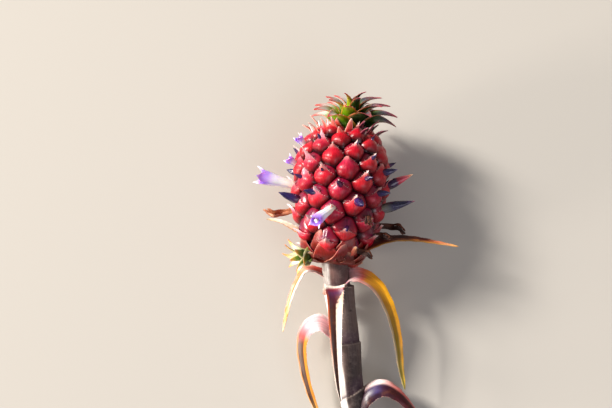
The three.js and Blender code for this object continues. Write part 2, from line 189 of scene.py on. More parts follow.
@dataclass(frozen=True)
class Lying:
    """How the finished stem lies on the floor."""

    tilt: float = math.radians(8.05)
    roll: float = math.radians(-1.42)
    shift: tuple[float, float, float] = (-7.68, 2.53, 14.1)

    @property
    def turn(self) -> Array:
        """The turn from the upright frame to the floor's."""
        return turn_x(-math.pi / 2 + self.tilt) @ turn_z(self.roll)

    def place(self, points: Array) -> Array:
        """Points of the upright frame, in millimetres, laid down, in metres."""
        return (points @ self.turn.T + np.array(self.shift)) * MM


@dataclass(frozen=True)
class Head:
    """The seat and lean of the fruit on its stalk."""

    seat: float = 2.2
    lean: float = math.radians(4.5)

    def place(self, points: Array) -> Array:
        """Points of the fruit's frame, in the upright frame."""
        return points @ turn_y(self.lean).T + np.array([0.0, 0.0, self.seat])


LYING = Lying()
HEAD = Head()


class Route:
    """A smooth curve through points, with its pull between them set by their spacing."""

    def __init__(self, points: list[tuple[float, float, float]] | Array) -> None:
        """Keeps the points that the curve passes."""
        self.points = np.array(points, float)

    def at(self, t: Array) -> Array:
        """The points at these shares of the curve.

        Args:
            t: the shares, from 0 to 1.

        Returns:
            The points.
        """
        p = self.points
        p = np.vstack([2 * p[0] - p[1], p, 2 * p[-1] - p[-2]])
        spans = len(self.points) - 1
        place = np.clip(np.asarray(t, float), 0, 1) * spans
        i = np.minimum(place.astype(int), spans - 1)
        w = (place - i)[..., None]
        x0, x1, x2, x3 = p[i], p[i + 1], p[i + 2], p[i + 3]
        d0, d1, d2 = (
            np.maximum(np.linalg.norm(b - a, axis=-1, keepdims=True), 1e-6) ** 0.5
            for a, b in ((x0, x1), (x1, x2), (x2, x3))
        )
        m1 = d1 * ((x1 - x0) / d0 - (x2 - x0) / (d0 + d1) + (x2 - x1) / d1)
        m2 = d1 * ((x2 - x1) / d1 - (x3 - x1) / (d1 + d2) + (x3 - x2) / d2)
        return (
            x1 + m1 * w + (-3 * x1 + 3 * x2 - 2 * m1 - m2) * w**2 + (2 * x1 - 2 * x2 + m1 + m2) * w**3
        )

    def along(self, t: Array) -> Array:
        """The directions of travel at these shares of the curve."""
        t = np.asarray(t, float)
        return unit(self.at(np.minimum(t + 1e-3, 1)) - self.at(np.maximum(t - 1e-3, 0)))

    def length(self) -> float:
        """The length of the curve."""
        p = self.at(np.linspace(0, 1, 100))
        return float(np.linalg.norm(np.diff(p, axis=0), axis=1).sum())


def arc(start: Array, middle: Array, end: Array) -> Route:
    """A route that leaves start toward middle and comes to end from it."""
    t = np.linspace(0, 1, 7)[:, None]
    return Route((1 - t) ** 2 * start + 2 * t * (1 - t) * middle + t * t * end)


# Meshes.


class Pile:
    """The vertices, faces, colours and grain of one piece, gathered part by part."""

    def __init__(self) -> None:
        """Starts with nothing."""
        self.points: list[Array] = []
        self.tints: list[Array] = []
        self.fibres: list[Array] = []
        self.quads: list[Array] = []
        self.tris: list[Array] = []
        self.count = 0

    def add(self, points: Array, tint: Array, fibre: Array, quads: Array, tris: Array) -> None:
        """Adds a part.

        Args:
            points: the vertices, n by 3, in millimetres.
            tint: their colours, n by 3 or one colour.
            fibre: their places across and along the grain, n by 2.
            quads: four-sided faces, counted from the part's first vertex.
            tris: three-sided faces, counted likewise.
        """
        n = len(points)
        self.points.append(points)
        self.tints.append(np.broadcast_to(tint, (n, 3)))
        self.fibres.append(np.broadcast_to(fibre, (n, 2)))
        self.quads.append(np.asarray(quads, int).reshape(-1, 4) + self.count)
        self.tris.append(np.asarray(tris, int).reshape(-1, 3) + self.count)
        self.count += n

    def tube(self, rings: Array, tint: Array, fibre: Array, tip: Array | None = None) -> None:
        """Adds a closed skin over rings of points, with its ends closed.

        Args:
            rings: the points, rings by points by 3.
            tint: their colours, of the same shape, or one colour.
            fibre: their places across and along the grain.
            tip: a point that the last ring runs out to, if it has one.
        """
        r, c, _ = rings.shape
        i, j = np.meshgrid(np.arange(r - 1), np.arange(c), indexing="ij")
        a, b = i * c + j, i * c + (j + 1) % c
        quads = np.stack([a, b, b + c, a + c], axis=-1).reshape(-1, 4)
        end = rings[-1].mean(0) if tip is None else tip
        points = np.vstack([rings.reshape(-1, 3), rings[0].mean(0), end])
        tint = np.broadcast_to(tint, rings.shape)
        fibre = np.broadcast_to(fibre, (r, c, 2))
        tints = np.vstack([tint.reshape(-1, 3), tint[0].mean(0), tint[-1].mean(0)])
        fibres = np.vstack([fibre.reshape(-1, 2), fibre[0].mean(0), fibre[-1].mean(0)])
        k = np.arange(c)
        first = np.stack([(k + 1) % c, k, np.full(c, r * c)], axis=-1)
        last = np.stack([(r - 1) * c + k, (r - 1) * c + (k + 1) % c, np.full(c, r * c + 1)], axis=-1)
        self.add(points, tints, fibres, quads, np.vstack([first, last]))

    def spines(self, feet: Array, reach: Array, sides: Array, tint: Array) -> None:
        """Adds small pointed teeth.

        Args:
            feet: where they stand, n by 3.
            reach: from each foot to its tip.
            sides: from the middle of each foot to its edge, along the blade's margin.
            tint: their colours.
        """
        n = len(feet)
        flat = unit(np.cross(reach, sides)) * np.linalg.norm(sides, axis=1, keepdims=True) * 0.6
        sunk = feet - 0.25 * reach
        points = np.stack([sunk + sides, sunk + flat, sunk - sides, sunk - flat, feet + reach], axis=1)
        base = np.arange(n)[:, None] * 5
        tris = np.concatenate([base + np.array([k, (k + 1) % 4, 4]) for k in range(4)])
        tints = np.repeat(np.broadcast_to(tint, (n, 3)), 5, axis=0)
        quads = base + np.array([3, 2, 1, 0])
        self.add(points.reshape(-1, 3), tints, np.zeros((n * 5, 2)), quads, tris)

    def object(self, name: str, look: bpy.types.Material, slot: str, *nodes: str) -> None:
        """Makes the piece, laid down, dressed and riding on the stem.

        Args:
            name: the piece's name.
            look: its material.
            slot: not used.
            *nodes: the solids that it stands for.
        """
        points = LYING.place(np.vstack(self.points))
        quads, tris = np.vstack(self.quads), np.vstack(self.tris)
        corners = np.concatenate([quads.ravel(), tris.ravel()])
        starts = np.concatenate([np.arange(len(quads)) * 4, len(quads) * 4 + np.arange(len(tris)) * 3])
        mesh = bpy.data.meshes.new(name)
        mesh.vertices.add(len(points))
        mesh.vertices.foreach_set("co", points.astype(np.float32).ravel())
        mesh.loops.add(len(corners))
        mesh.loops.foreach_set("vertex_index", corners.astype(np.int32))
        mesh.polygons.add(len(starts))
        mesh.polygons.foreach_set("loop_start", starts.astype(np.int32))
        mesh.update(calc_edges=True)
        rgba = np.hstack([np.vstack(self.tints), np.ones((len(points), 1))])
        mesh.color_attributes.new(TINT, "FLOAT_COLOR", "POINT").data.foreach_set(
            "color", rgba.astype(np.float32).ravel()
        )
        grain = np.hstack([np.vstack(self.fibres), np.zeros((len(points), 1))])
        mesh.attributes.new(FIBRE, "FLOAT_VECTOR", "POINT").data.foreach_set(
            "vector", grain.astype(np.float32).ravel()
        )
        turned_out = bmesh.new()
        turned_out.from_mesh(mesh)
        bmesh.ops.recalc_face_normals(turned_out, faces=turned_out.faces)
        turned_out.to_mesh(mesh)
        turned_out.free()
        mesh.polygons.foreach_set("use_smooth", np.ones(len(starts), bool))
        mesh.materials.append(look)
        made = bpy.data.objects.new(name, mesh)
        bpy.context.scene.collection.objects.link(made)
        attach(made, BODY)
        if nodes:
            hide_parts(*nodes)
        LOG.info("%s: %d faces", name, len(starts))


# Finishes.


class Tree:
    """A shader node tree that is built node by node."""

    def __init__(self, tree: bpy.types.NodeTree) -> None:
        """Keeps the tree."""
        self.tree = tree

    def put(self, node: bpy.types.Node, inputs: dict[str | int, object]) -> None:
        """Fills inputs of a node.

        Args:
            node: the node.
            inputs: by name or number, the socket that each one takes or its own value.
        """
        for key, value in inputs.items():
            if isinstance(value, bpy.types.NodeSocket):
                self.tree.links.new(value, node.inputs[key])
            else:
                node.inputs[key].default_value = value

    def add(self, kind: str, inputs: dict[str | int, object], **settings: object) -> bpy.types.Node:
        """Adds a node.

        Args:
            kind: its type, without the shader prefix.
            inputs: what its inputs take.
            **settings: its own settings, such as an operation.

        Returns:
            The node.
        """
        node = self.tree.nodes.new("ShaderNode" + kind)
        for label, value in settings.items():
            setattr(node, label, value)
        self.put(node, inputs)
        return node


def node_group(
    name: str, inputs: dict[str, object], outputs: list[str]
) -> tuple[Tree, bpy.types.Node, bpy.types.Node]:
    """A shader node group with its sockets.

    Args:
        name: the group's name.
        inputs: the starting value of each input, which tells its type: a colour, a number or none.
        outputs: the outputs, of which Colour is a colour and the others are numbers.

    Returns:
        The group's tree, its input node and its output node.
    """
    group = bpy.data.node_groups.new(name, "ShaderNodeTree")
    kinds = {tuple: "NodeSocketColor", float: "NodeSocketFloat", type(None): "NodeSocketVector"}
    for label, value in inputs.items():
        socket = group.interface.new_socket(label, in_out="INPUT", socket_type=kinds[type(value)])
        if value is not None:
            socket.default_value = value
    for label in outputs:
        kind = kinds[tuple if label == "Colour" else float]
        group.interface.new_socket(label, in_out="OUTPUT", socket_type=kind)
    return Tree(group), group.nodes.new("NodeGroupInput"), group.nodes.new("NodeGroupOutput")


class Effects:
    """The shader node groups that the finishes share."""

    def __init__(self) -> None:
        """Builds each group once."""
        self.fibre = self.fibre_group()
        self.mottle = self.mottle_group()

    def fibre_group(self) -> bpy.types.NodeTree:
        """Fine streaks along the grain, which shade the colour and stand up a little.

        Returns:
            The group.
        """
        values = {"Colour": WHITE, "Grain": None, "Across": 9.0, "Along": 1.2, "Shade": 0.3}
        tree, start, end = node_group("fibre_streaks", values, ["Colour", "Height"])
        given = start.outputs
        scale = tree.add("CombineXYZ", {"X": given["Across"], "Y": given["Along"]})
        stretched = tree.add("VectorMath", {0: given["Grain"], 1: scale.outputs[0]}, operation="MULTIPLY")
        noise = tree.add(
            "TexNoise", {"Scale": 1.0, "Detail": 3.0, "Roughness": 0.6, "Vector": stretched.outputs[0]}
        )
        limits = {"From Min": 0.3, "From Max": 0.7, "To Min": 1.0, "To Max": 0.0}
        spread = tree.add("MapRange", {**limits, "Value": noise.outputs["Fac"]})
        amount = tree.add("Math", {0: spread.outputs[0], 1: given["Shade"]}, operation="MULTIPLY")
        darker = tree.add("Math", {0: UNSTREAKED, 1: amount.outputs[0]}, operation="SUBTRACT")
        shade = tree.add("HueSaturation", {"Value": darker.outputs[0], "Color": given["Colour"]})
        tree.put(end, {"Colour": shade.outputs[0], "Height": noise.outputs["Fac"]})
        return tree.tree

    def mottle_group(self) -> bpy.types.NodeTree:
        """Cloudy patches of a second colour, such as mealy bloom or a purple flush.

        Returns:
            The group.
        """
        values = {"Colour": WHITE, "Patch": WHITE, "Scale": 600.0, "Low": 0.45, "High": 0.7, "Amount": 0.3}
        tree, start, end = node_group("mottled_patches", values, ["Colour", "Mask", "Height"])
        given = start.outputs
        place = tree.add("TexCoord", {})
        cloud = {"Detail": 5.0, "Roughness": 0.65, "Vector": place.outputs["Object"], "Scale": given["Scale"]}
        noise = tree.add("TexNoise", cloud)
        limits = {"Value": noise.outputs["Fac"], "From Min": given["Low"], "From Max": given["High"]}
        step = tree.add("MapRange", limits, interpolation_type="SMOOTHSTEP")
        amount = tree.add("Math", {0: step.outputs[0], 1: given["Amount"]}, operation="MULTIPLY")
        mixed = {0: amount.outputs[0], MIX_FIRST: given["Colour"], MIX_SECOND: given["Patch"]}
        mix = tree.add("Mix", mixed, data_type="RGBA")
        found = {"Colour": mix.outputs[MIX_RESULT], "Mask": step.outputs[0], "Height": noise.outputs["Fac"]}
        tree.put(end, found)
        return tree.tree


@dataclass(frozen=True)
class Finish:
    """A plant surface: its grain, its patches, its gloss and how far light goes into it."""

    name: str
    patch: str
    patch_scale: float = 500.0
    patch_amount: float = 0.25
    patch_low: float = 0.45
    patch_high: float = 0.72
    across: float = 9.0
    along: float = 1.2
    shade: float = 0.3
    roughness: tuple[float, float] = (0.35, 0.55)
    relief: float = 0.05
    fine_relief: float = 0.02
    glow: float = 0.15
    glow_depth: float = 0.0012
    gloss: float = 0.4
    coat: float = 0.0

    def material(self, effects: Effects) -> bpy.types.Material:
        """Builds the material.

        Args:
            effects: the shared node groups.

        Returns:
            The material, which takes its base colour from the piece's own tints.
        """
        look = bpy.data.materials.new(self.name)
        look.use_nodes = True
        tree = Tree(look.node_tree)
        tint = tree.add("Attribute", {}, attribute_name=TINT)
        grain = tree.add("Attribute", {}, attribute_name=FIBRE)
        given = {"Across": self.across, "Along": self.along, "Shade": self.shade}
        given |= {"Colour": tint.outputs["Color"], "Grain": grain.outputs["Vector"]}
        streaks = tree.add("Group", given, node_tree=effects.fibre)
        given = {"Scale": self.patch_scale, "Low": self.patch_low, "High": self.patch_high}
        given |= {"Patch": (*linear(self.patch), 1), "Amount": self.patch_amount}
        given |= {"Colour": streaks.outputs["Colour"]}
        patches = tree.add("Group", given, node_tree=effects.mottle)
        low, high = self.roughness
        rough = tree.add("MapRange", {"To Min": low, "To Max": high, "Value": patches.outputs["Mask"]})
        ribs = {"Strength": 1.0, "Distance": self.relief * MM, "Height": streaks.outputs["Height"]}
        meal_and_painted_highlight = {"Strength": 1.0, "Distance": self.fine_relief * MM, "Height": patches.outputs["Height"]}
        meal_and_painted_highlight["Normal"] = tree.add("Bump", ribs).outputs["Normal"]
        tree.put(look.node_tree.nodes["Principled BSDF"], {
            "Base Color": patches.outputs["Colour"],
            "Roughness": rough.outputs[0],
            "Normal": tree.add("Bump", meal_and_painted_highlight).outputs["Normal"],
            "Specular IOR Level": self.gloss,
            "Subsurface Weight": self.glow,
            "Subsurface Radius": (1.0, 0.35, 0.2),
            "Subsurface Scale": self.glow_depth,
            "Coat Weight": self.coat,
            "Coat Roughness": 0.2,
        })
        return look


class Look(Enum):
    """The finishes of the stem."""

    FLESH = Finish(
        name="fruit_flesh", patch="4c0c30", patch_scale=260, patch_amount=0.3, patch_low=0.5,
        patch_high=0.75, across=2.6, along=0.5, shade=0.45, roughness=(0.28, 0.45), relief=0.08,
        fine_relief=0.03, glow=0.14, glow_depth=0.0014, coat=0.25,
    )
    BRACT = Finish(
        name="fruit_bract", patch="d8405c", patch_scale=420, patch_amount=0.2, patch_low=0.5,
        patch_high=0.75, across=2.8, along=0.4, shade=0.55, roughness=(0.32, 0.5), relief=0.14,
        fine_relief=0.03, glow=0.12, gloss=0.28, coat=0.14,
    )
    CORE = Finish(
        name="fruit_grooves", patch="1a0d08", patch_amount=0.4, patch_low=0.4, patch_high=0.7,
        across=6.0, along=1.0, roughness=(0.6, 0.8), fine_relief=0.03, glow=0.0,
    )
    CROWN = Finish(
        name="crown_leaf", patch="c9d8a0", patch_scale=380, patch_amount=0.18, patch_low=0.5,
        patch_high=0.75, across=3.0, along=0.15, shade=0.45, roughness=(0.3, 0.5), glow=0.12,
    )
    LEAF = Finish(
        name="stalk_leaf", patch="8a4a20", patch_scale=330, patch_amount=0.3, patch_low=0.5,
        patch_high=0.78, across=2.6, along=0.12, shade=0.42, relief=0.06, glow=0.12,
    )
    STALK = Finish(
        name="mealy_stalk", patch="8a7c76", patch_scale=600, patch_amount=0.3, across=2.4, along=0.12,
        shade=0.45, roughness=(0.6, 0.85), relief=0.06, fine_relief=0.05, glow=0.0, glow_depth=0.001,
        gloss=0.25,
    )
    PETAL = Finish(
        name="petal", patch="ffffff", patch_scale=300, patch_amount=0.2, patch_high=0.8, across=8.0,
        along=0.5, shade=0.14, relief=0.03, fine_relief=0.01, glow=0.35, glow_depth=0.0015, gloss=0.3,
    )
    BUD = Finish(
        name="violet_bud", patch="5a4a9a", patch_scale=420, patch_low=0.5, patch_high=0.75, across=3.0,
        along=0.3, shade=0.35, roughness=(0.22, 0.4), relief=0.04, fine_relief=0.01, glow=0.05,
        glow_depth=0.001, gloss=0.5, coat=0.3,
    )
    WITHERED = Finish(
        name="withered_flower", patch="2a120a", patch_scale=700, patch_amount=0.5, patch_low=0.4,
        patch_high=0.7, across=3.5, along=0.5, shade=0.6, roughness=(0.6, 0.9), relief=0.12,
        fine_relief=0.05, glow=0.0,
    )

    def made(self, effects: Effects) -> bpy.types.Material:
        """The material, built at its first use."""
        return bpy.data.materials.get(self.value.name) or self.value.material(effects)


# Blades.


@dataclass(frozen=True)
class BladeColours:
    """The colours of a blade along its length: both faces, both margins and the teeth.

    The margins start at these shares of the half width, and the left one grows in over a span
    of the length. Its inner border can be ragged.
    """

    face: Gradient
    back: Gradient
    left: Gradient
    right: Gradient
    teeth: Gradient
    left_edge: float = 0.7
    right_edge: float = 0.7
    left_from: tuple[float, float] = (-1.0, 0.0)
    ragged: float = 0.0


@dataclass
class Blade:
    """A channelled leaf, bract or petal with toothed margins, along a route."""

    route: Route
    across: tuple[Array, Array]
    width: float
    thickness: float
    channel: float
    colours: BladeColours
    taper: float = 0.3
    rings: int = 44
    columns: int = 11
    tooth: float = 0.0
    tooth_gap: float = 1.1
    tooth_span: tuple[float, float] = (0.05, 0.95)
    wave: float = 0.0
    foot_width: float = 1.0
    belly: float = 0.0

    def frame_at(self, t: Array) -> tuple[Array, Array, Array, Array]:
        """Points and directions on the route.

        Args:
            t: shares of the route.

        Returns:
            The points, and the directions along, across and out of the channel.
        """
        t = np.atleast_1d(np.asarray(t, float))
        along = self.route.along(t)
        wide = self.across[0] + (self.across[1] - self.across[0]) * t[:, None]
        across = unit(wide - along * (wide * along).sum(1, keepdims=True))
        return self.route.at(t), along, across, np.cross(across, along)

    def reach(self, t: Array) -> Array:
        """Half the width at these shares of the route.

        Args:
            t: the shares.

        Returns:
            Half the width there, in millimetres.
        """
        taper = np.sqrt(np.maximum(1 - t, 0)) * (1 - self.taper * t)
        foot = self.foot_width + (1 - self.foot_width) * ease(0, 0.25, t)
        return 0.5 * self.width * taper * foot * (1 + self.belly * np.sin(math.pi * t))

    def surface(self, t: Array, u: Array, side: Array) -> Array:
        """Points of the blade's skin.

        Args:
            t: shares of the route, one for each ring.
            u: places across from -1 to 1, one for each point of a ring.
            side: which side of the middle sheet each one is on, from -1 to 1.

        Returns:
            The points, rings by points by 3.
        """
        point, _, across, face = self.frame_at(t)
        reach = self.reach(t)[:, None]
        depth = 0.5 * self.thickness * np.sqrt(np.maximum(1 - 0.7 * t, 0.05))[:, None]
        ripple = self.wave * np.sin(RIPPLES * 2 * math.pi * t + 1.3)[:, None] * np.abs(u) ** 3 * np.sign(u)
        rise = self.channel * reach * u**2 + depth * side + ripple
        return point[:, None] + across[:, None] * (u * reach)[..., None] + face[:, None] * rise[..., None]

    def build(self, pile: Pile) -> None:
        """Adds the blade and its teeth to a piece.

        Args:
            pile: the piece.
        """
        t = steps(self.rings, 1.15)
        u, side = section(self.columns)
        side = -side * np.sqrt(np.maximum(1 - u**4, 0))
        rings = self.surface(t, u, side)
        tip = self.route.at(np.array([1.0]))[0]
        c = self.colours
        face, back, left, right = (tones.at(t)[:, None] for tones in (c.face, c.back, c.left, c.right))
        tint = np.where((side > 0)[None, :, None], face, back)
        grown = np.clip((t - c.left_from[0]) / (c.left_from[1] - c.left_from[0]), 0, 1)[:, None]
        length = self.route.length()
        notches = c.ragged * np.sin(2 * math.pi * t * length / NOTCH_GAP)[:, None]
        starts = np.where(u < 0, 1 - (1 - c.left_edge + notches) * grown, c.right_edge)
        margin = ease(0, 1, (np.abs(u) - starts) / np.clip(0.5 * (1 - starts), 0.05, 0.2))[..., None]
        edge = np.where((u < 0)[None, :, None], left, right)
        tint = tint + (edge - tint) * margin
        grain = u * self.reach(t)[:, None] + BACK_GRAIN * (side > 0)
        fibre = np.stack([grain, np.repeat(t[:, None] * length, len(u), 1)], -1)
        pile.tube(rings, tint, fibre, tip)
        if self.tooth:
            self.add_teeth(pile, length)

    def add_teeth(self, pile: Pile, length: float) -> None:
        """Adds the teeth of both margins, which point toward the tip.

        Args:
            pile: the piece.
            length: the length of the route.
        """
        low, high = self.tooth_span
        count = max(int((high - low) * length / self.tooth_gap), 2)
        t = np.linspace(low, high, count)
        wobble = 0.4 * (high - low) / count * np.sin(np.arange(count) * 7.7)
        for sign in (-1.0, 1.0):
            at = np.clip(t + wobble + (0.3 * sign) / length, 0, 0.98)
            _, along, across, face = self.frame_at(at)
            feet = self.surface(at, np.array([sign]), np.array([0.0]))[:, 0]
            size = self.tooth * (0.75 + 0.35 * np.sin(np.arange(count) * 3.1 + sign))[:, None]
            reach = (across * sign * 0.85 + along * 0.55 + face * 0.35 * self.channel) * size
            pile.spines(feet, reach, along * 0.3 * size, self.colours.teeth.at(at))


# The fruit.


@dataclass(frozen=True)
class Berry:
    """A berry's place in the fruit's frame, its directions, its pitch and its rim.

    The rim is how far it reaches before it meets its neighbours, in shares of its pitch, at even
    steps of angle from its side direction.
    """

    index: int
    height: float
    centre: Array
    out: Array
    side: Array
    up: Array
    pitch: float
    rim: Array = field(default_factory=lambda: np.full(RIM_STEPS, 0.5))

    @property
    def lit(self) -> float:
        """How far the berry looks to the left, where the light comes from."""
        return float(ease(0.05, 0.85, -self.out[0]))

    @property
    def under(self) -> float:
        """How far the berry looks down at the floor that the stem lies on."""
        return float(ease(0.3, 0.75, (LYING.turn @ turn_y(HEAD.lean) @ -self.out)[2]))

    @property
    def painted_shade(self) -> float:
        """How far the berry looks to the right, away from the light: the share of painted shade in its
        colours.
        """
        return float(ease(0.0, 0.9, self.out[0]))

    def rim_at(self, angle: Array) -> Array:
        """How far the berry reaches at these angles."""
        place = np.asarray(angle) * RIM_STEPS / (2 * math.pi)
        return np.interp(place, np.arange(RIM_STEPS), self.rim, period=RIM_STEPS)

    def on(self, x: Array, y: Array, z: Array) -> Array:
        """Points of the berry.

        Args:
            x: places across, in shares of its pitch.
            y: places up, likewise.
            z: places out, likewise.

        Returns:
            The points, in the fruit's frame.
        """
        x, y, z = np.broadcast_arrays(x, y, z)
        offset = x[..., None] * self.side + y[..., None] * self.up + z[..., None] * self.out
        return self.centre + self.pitch * offset


@dataclass
class Spiral:
    """The fruit's outline and the spiral of berries on it."""

    height: float = 47.4
    base_radius: float = 6.2
    widest_radius: float = 17.4
    widest_at: float = 30.0
    top_radius: float = 8.8
    lower_power: float = 0.72
    upper_power: float = 2.8
    core_share: float = 0.86
    count: int = 76
    turn: float = math.radians(-137.8)
    first: float = math.radians(88)
    crowding: float = 0.8
    lift: float = math.radians(14)
    free_rim: float = 0.55
    fullness: float = 1.17

    def outline(self, height: Array) -> Array:
        """The radius of the fruit at these heights.

        Args:
            height: the heights above its seat.

        Returns:
            The radius there.
        """
        h = np.maximum(np.asarray(height, float), 0)
        rise = np.sin(math.pi / 2 * (np.minimum(h, self.widest_at) / self.widest_at) ** self.lower_power)
        low = self.base_radius + (self.widest_radius - self.base_radius) * rise
        over = np.maximum(h - self.widest_at, 0) / (self.height - self.widest_at)
        high = self.widest_radius - (self.widest_radius - self.top_radius) * over**self.upper_power
        return np.where(h < self.widest_at, low, high)

    def berries(self) -> list[Berry]:
        """Every berry, from the stalk up, each with its share of the fruit's skin.

        Returns:
            The berries in the order of the spiral.
        """
        slices = 400
        step = self.height / slices
        heights = (np.arange(slices) + 0.5) * step
        slope = (self.outline(heights + step / 2) - self.outline(heights - step / 2)) / step
        skin = 2 * math.pi * self.outline(heights) * np.hypot(1, slope) * step
        crowd = 1 + self.crowding * (heights / self.height) ** 2
        total = float((skin * crowd).sum())
        reached = np.cumsum(skin * crowd)
        made = []
        for k in range(self.count):
            i = int(np.searchsorted(reached, (k + 0.5) / self.count * total))
            pitch = math.sqrt(total / self.count / crowd[i] / HEXAGON_AREA)
            made.append(self.berry(k, float(heights[i]), pitch))
        return [replace(berry, rim=self.rim(berry, made)) for berry in made]

    def rim(self, berry: Berry, others: list[Berry]) -> Array:
        """How far a berry reaches before it meets its neighbours, with rounded corners.

        Args:
            berry: the berry.
            others: every berry.

        Returns:
            The reach at even steps of angle, in shares of its pitch.
        """
        angle = around(RIM_STEPS)
        ways = np.stack([np.cos(angle), np.sin(angle)], -1)
        roundness, nearby, foot_growth = 9, 2.3, 0.12
        free = self.free_rim + foot_growth * (1 - float(ease(3, 9, berry.height)))
        crowding = np.full(RIM_STEPS, (1 / free) ** roundness)
        for other in others:
            gap = other.centre - berry.centre
            if other is berry or np.linalg.norm(gap) > nearby * berry.pitch:
                continue
            flat = np.array([gap @ berry.side, gap @ berry.up]) / berry.pitch
            apart = float(np.linalg.norm(flat))
            border = apart * berry.pitch / (berry.pitch + other.pitch)
            crowding += np.maximum(ways @ flat / apart / border, 0) ** roundness
        return self.fullness * crowding ** (-1 / roundness)

    def berry(self, k: int, height: float, pitch: float) -> Berry:
        """One berry of the spiral.

        Args:
            k: its place in the spiral.
            height: its height on the fruit.
            pitch: the spacing of the berries there.

        Returns:
            The berry.
        """
        angle = self.first + k * self.turn
        outward = np.array([math.sin(angle), -math.cos(angle), 0.0])
        slope = float(self.outline(height + 0.5) - self.outline(height - 0.5))
        up = unit(UP + outward * slope)
        side = unit(np.cross(up, outward))
        out = turned(unit(np.cross(side, up)), side, -self.lift)
        centre = outward * float(self.outline(height)) * self.core_share + UP * height
        return Berry(k, height, centre, out, side, unit(np.cross(out, side)), pitch)


@dataclass(frozen=True)
class Tip:
    """Where the tip of a berry's bract stands from its middle, in pitches, and its form.

    The waist is how hollow it tapers, and the keel is how far its middle stands up.
    """

    up: float
    out: float
    aside: float = 0.0
    waist: float = 0.4
    keel: float = 1.0


@dataclass(frozen=True)
class Ruff:
    """A ring of bracts, each along a route of radius and height in the fruit's frame.

    They twist toward the viewer, and sway is how far round their tips stand from their feet.
    """

    count: int
    first: float
    route: tuple[tuple[float, float], ...]
    width: float
    colours: BladeColours
    shade: BladeColours | None = None
    channel: float = 0.25
    taper: float = 0.1
    belly: float = 0.3
    tooth: float = 0.3
    twist: float = 0.0
    sway: float = 0.0


SALMON = BladeColours(
    face=Gradient("0 3a1410 30 7a2c24 70 983c30 100 d08a68"),
    back=Gradient("0 4a1c18 30 601c10 60 6e2012 85 54100a 100 a86448"),
    left=plain("8c3c2c"), right=plain("c8765c"), teeth=plain("d89478"), left_edge=0.92, right_edge=0.92,
)
RUSSET = BladeColours(
    face=Gradient("0 3c0c10 30 7c2020 70 983030 100 d08878"),
    back=Gradient("0 4a1014 30 4a0c08 60 741810 85 8c2018 100 c87c6c"),
    left=plain("943c30"), right=plain("d07c6c"), teeth=plain("ecb8a8"), left_edge=0.92, right_edge=0.92,
)
CORAL = BladeColours(
    face=Gradient("0 a02028 40 d84a40 80 f0a090 100 fbe0d8"),
    back=Gradient("0 a41c24 40 d83c3c 75 ec8070 100 f8d8cc"),
    left=plain("f0b0a0"), right=plain("f0b0a0"), teeth=plain("f8d4c8"), left_edge=0.8, right_edge=0.8,
)
# The coral bracts painted darker, as shade, for those on the right, away from the light.
CORAL_IN_SHADE = BladeColours(
    face=Gradient("0 4a0c18 40 5c1c2c 80 3c1a2c 100 c87888"),
    back=Gradient("0 4a0c18 40 6a1c2c 80 40182c 100 d08898"),
    left=plain("b8586a"), right=plain("b8586a"), teeth=plain("d08c94"), left_edge=0.8, right_edge=0.8,
)
RUFFS_LOW = (
    Ruff(
        count=9, first=math.radians(12), route=((4.4, -2.5), (7.4, -2.6), (10.2, -1.0), (12.0, 2.4)),
        width=12.6, colours=SALMON, channel=0.1, taper=-0.1, belly=0.15, sway=0.3,
    ),
    Ruff(
        count=8, first=math.radians(-12), route=((5.4, -1.7), (8.6, -1.5), (11.6, 1.2), (13.2, 5.6)),
        width=13.2, colours=RUSSET, channel=0.1, taper=-0.1, belly=0.15, sway=-0.3,
    ),
    Ruff(
        count=8, first=math.radians(14), route=((6.0, -0.8), (9.4, 0.4), (12.2, 4.0), (13.4, 9.6)),
        width=11.0, colours=RUSSET, channel=0.1, taper=0.0, belly=0.1, sway=0.2,
    ),
)
RUFFS_HIGH = (
    Ruff(
        count=12, first=math.radians(8), route=((7.4, 45.4), (9.6, 47.4), (11.6, 50.0), (13.6, 52.0)),
        width=3.8, colours=CORAL, shade=CORAL_IN_SHADE, belly=0.1, taper=0.3, twist=0.5, tooth=0.28,
    ),
    Ruff(
        count=9, first=math.radians(30), route=((9.4, 43.6), (11.6, 45.6), (14.0, 47.8), (16.6, 49.0)),
        width=3.2, colours=CORAL, shade=CORAL_IN_SHADE, belly=0.1, taper=0.3, twist=0.5, tooth=0.28,
    ),
)


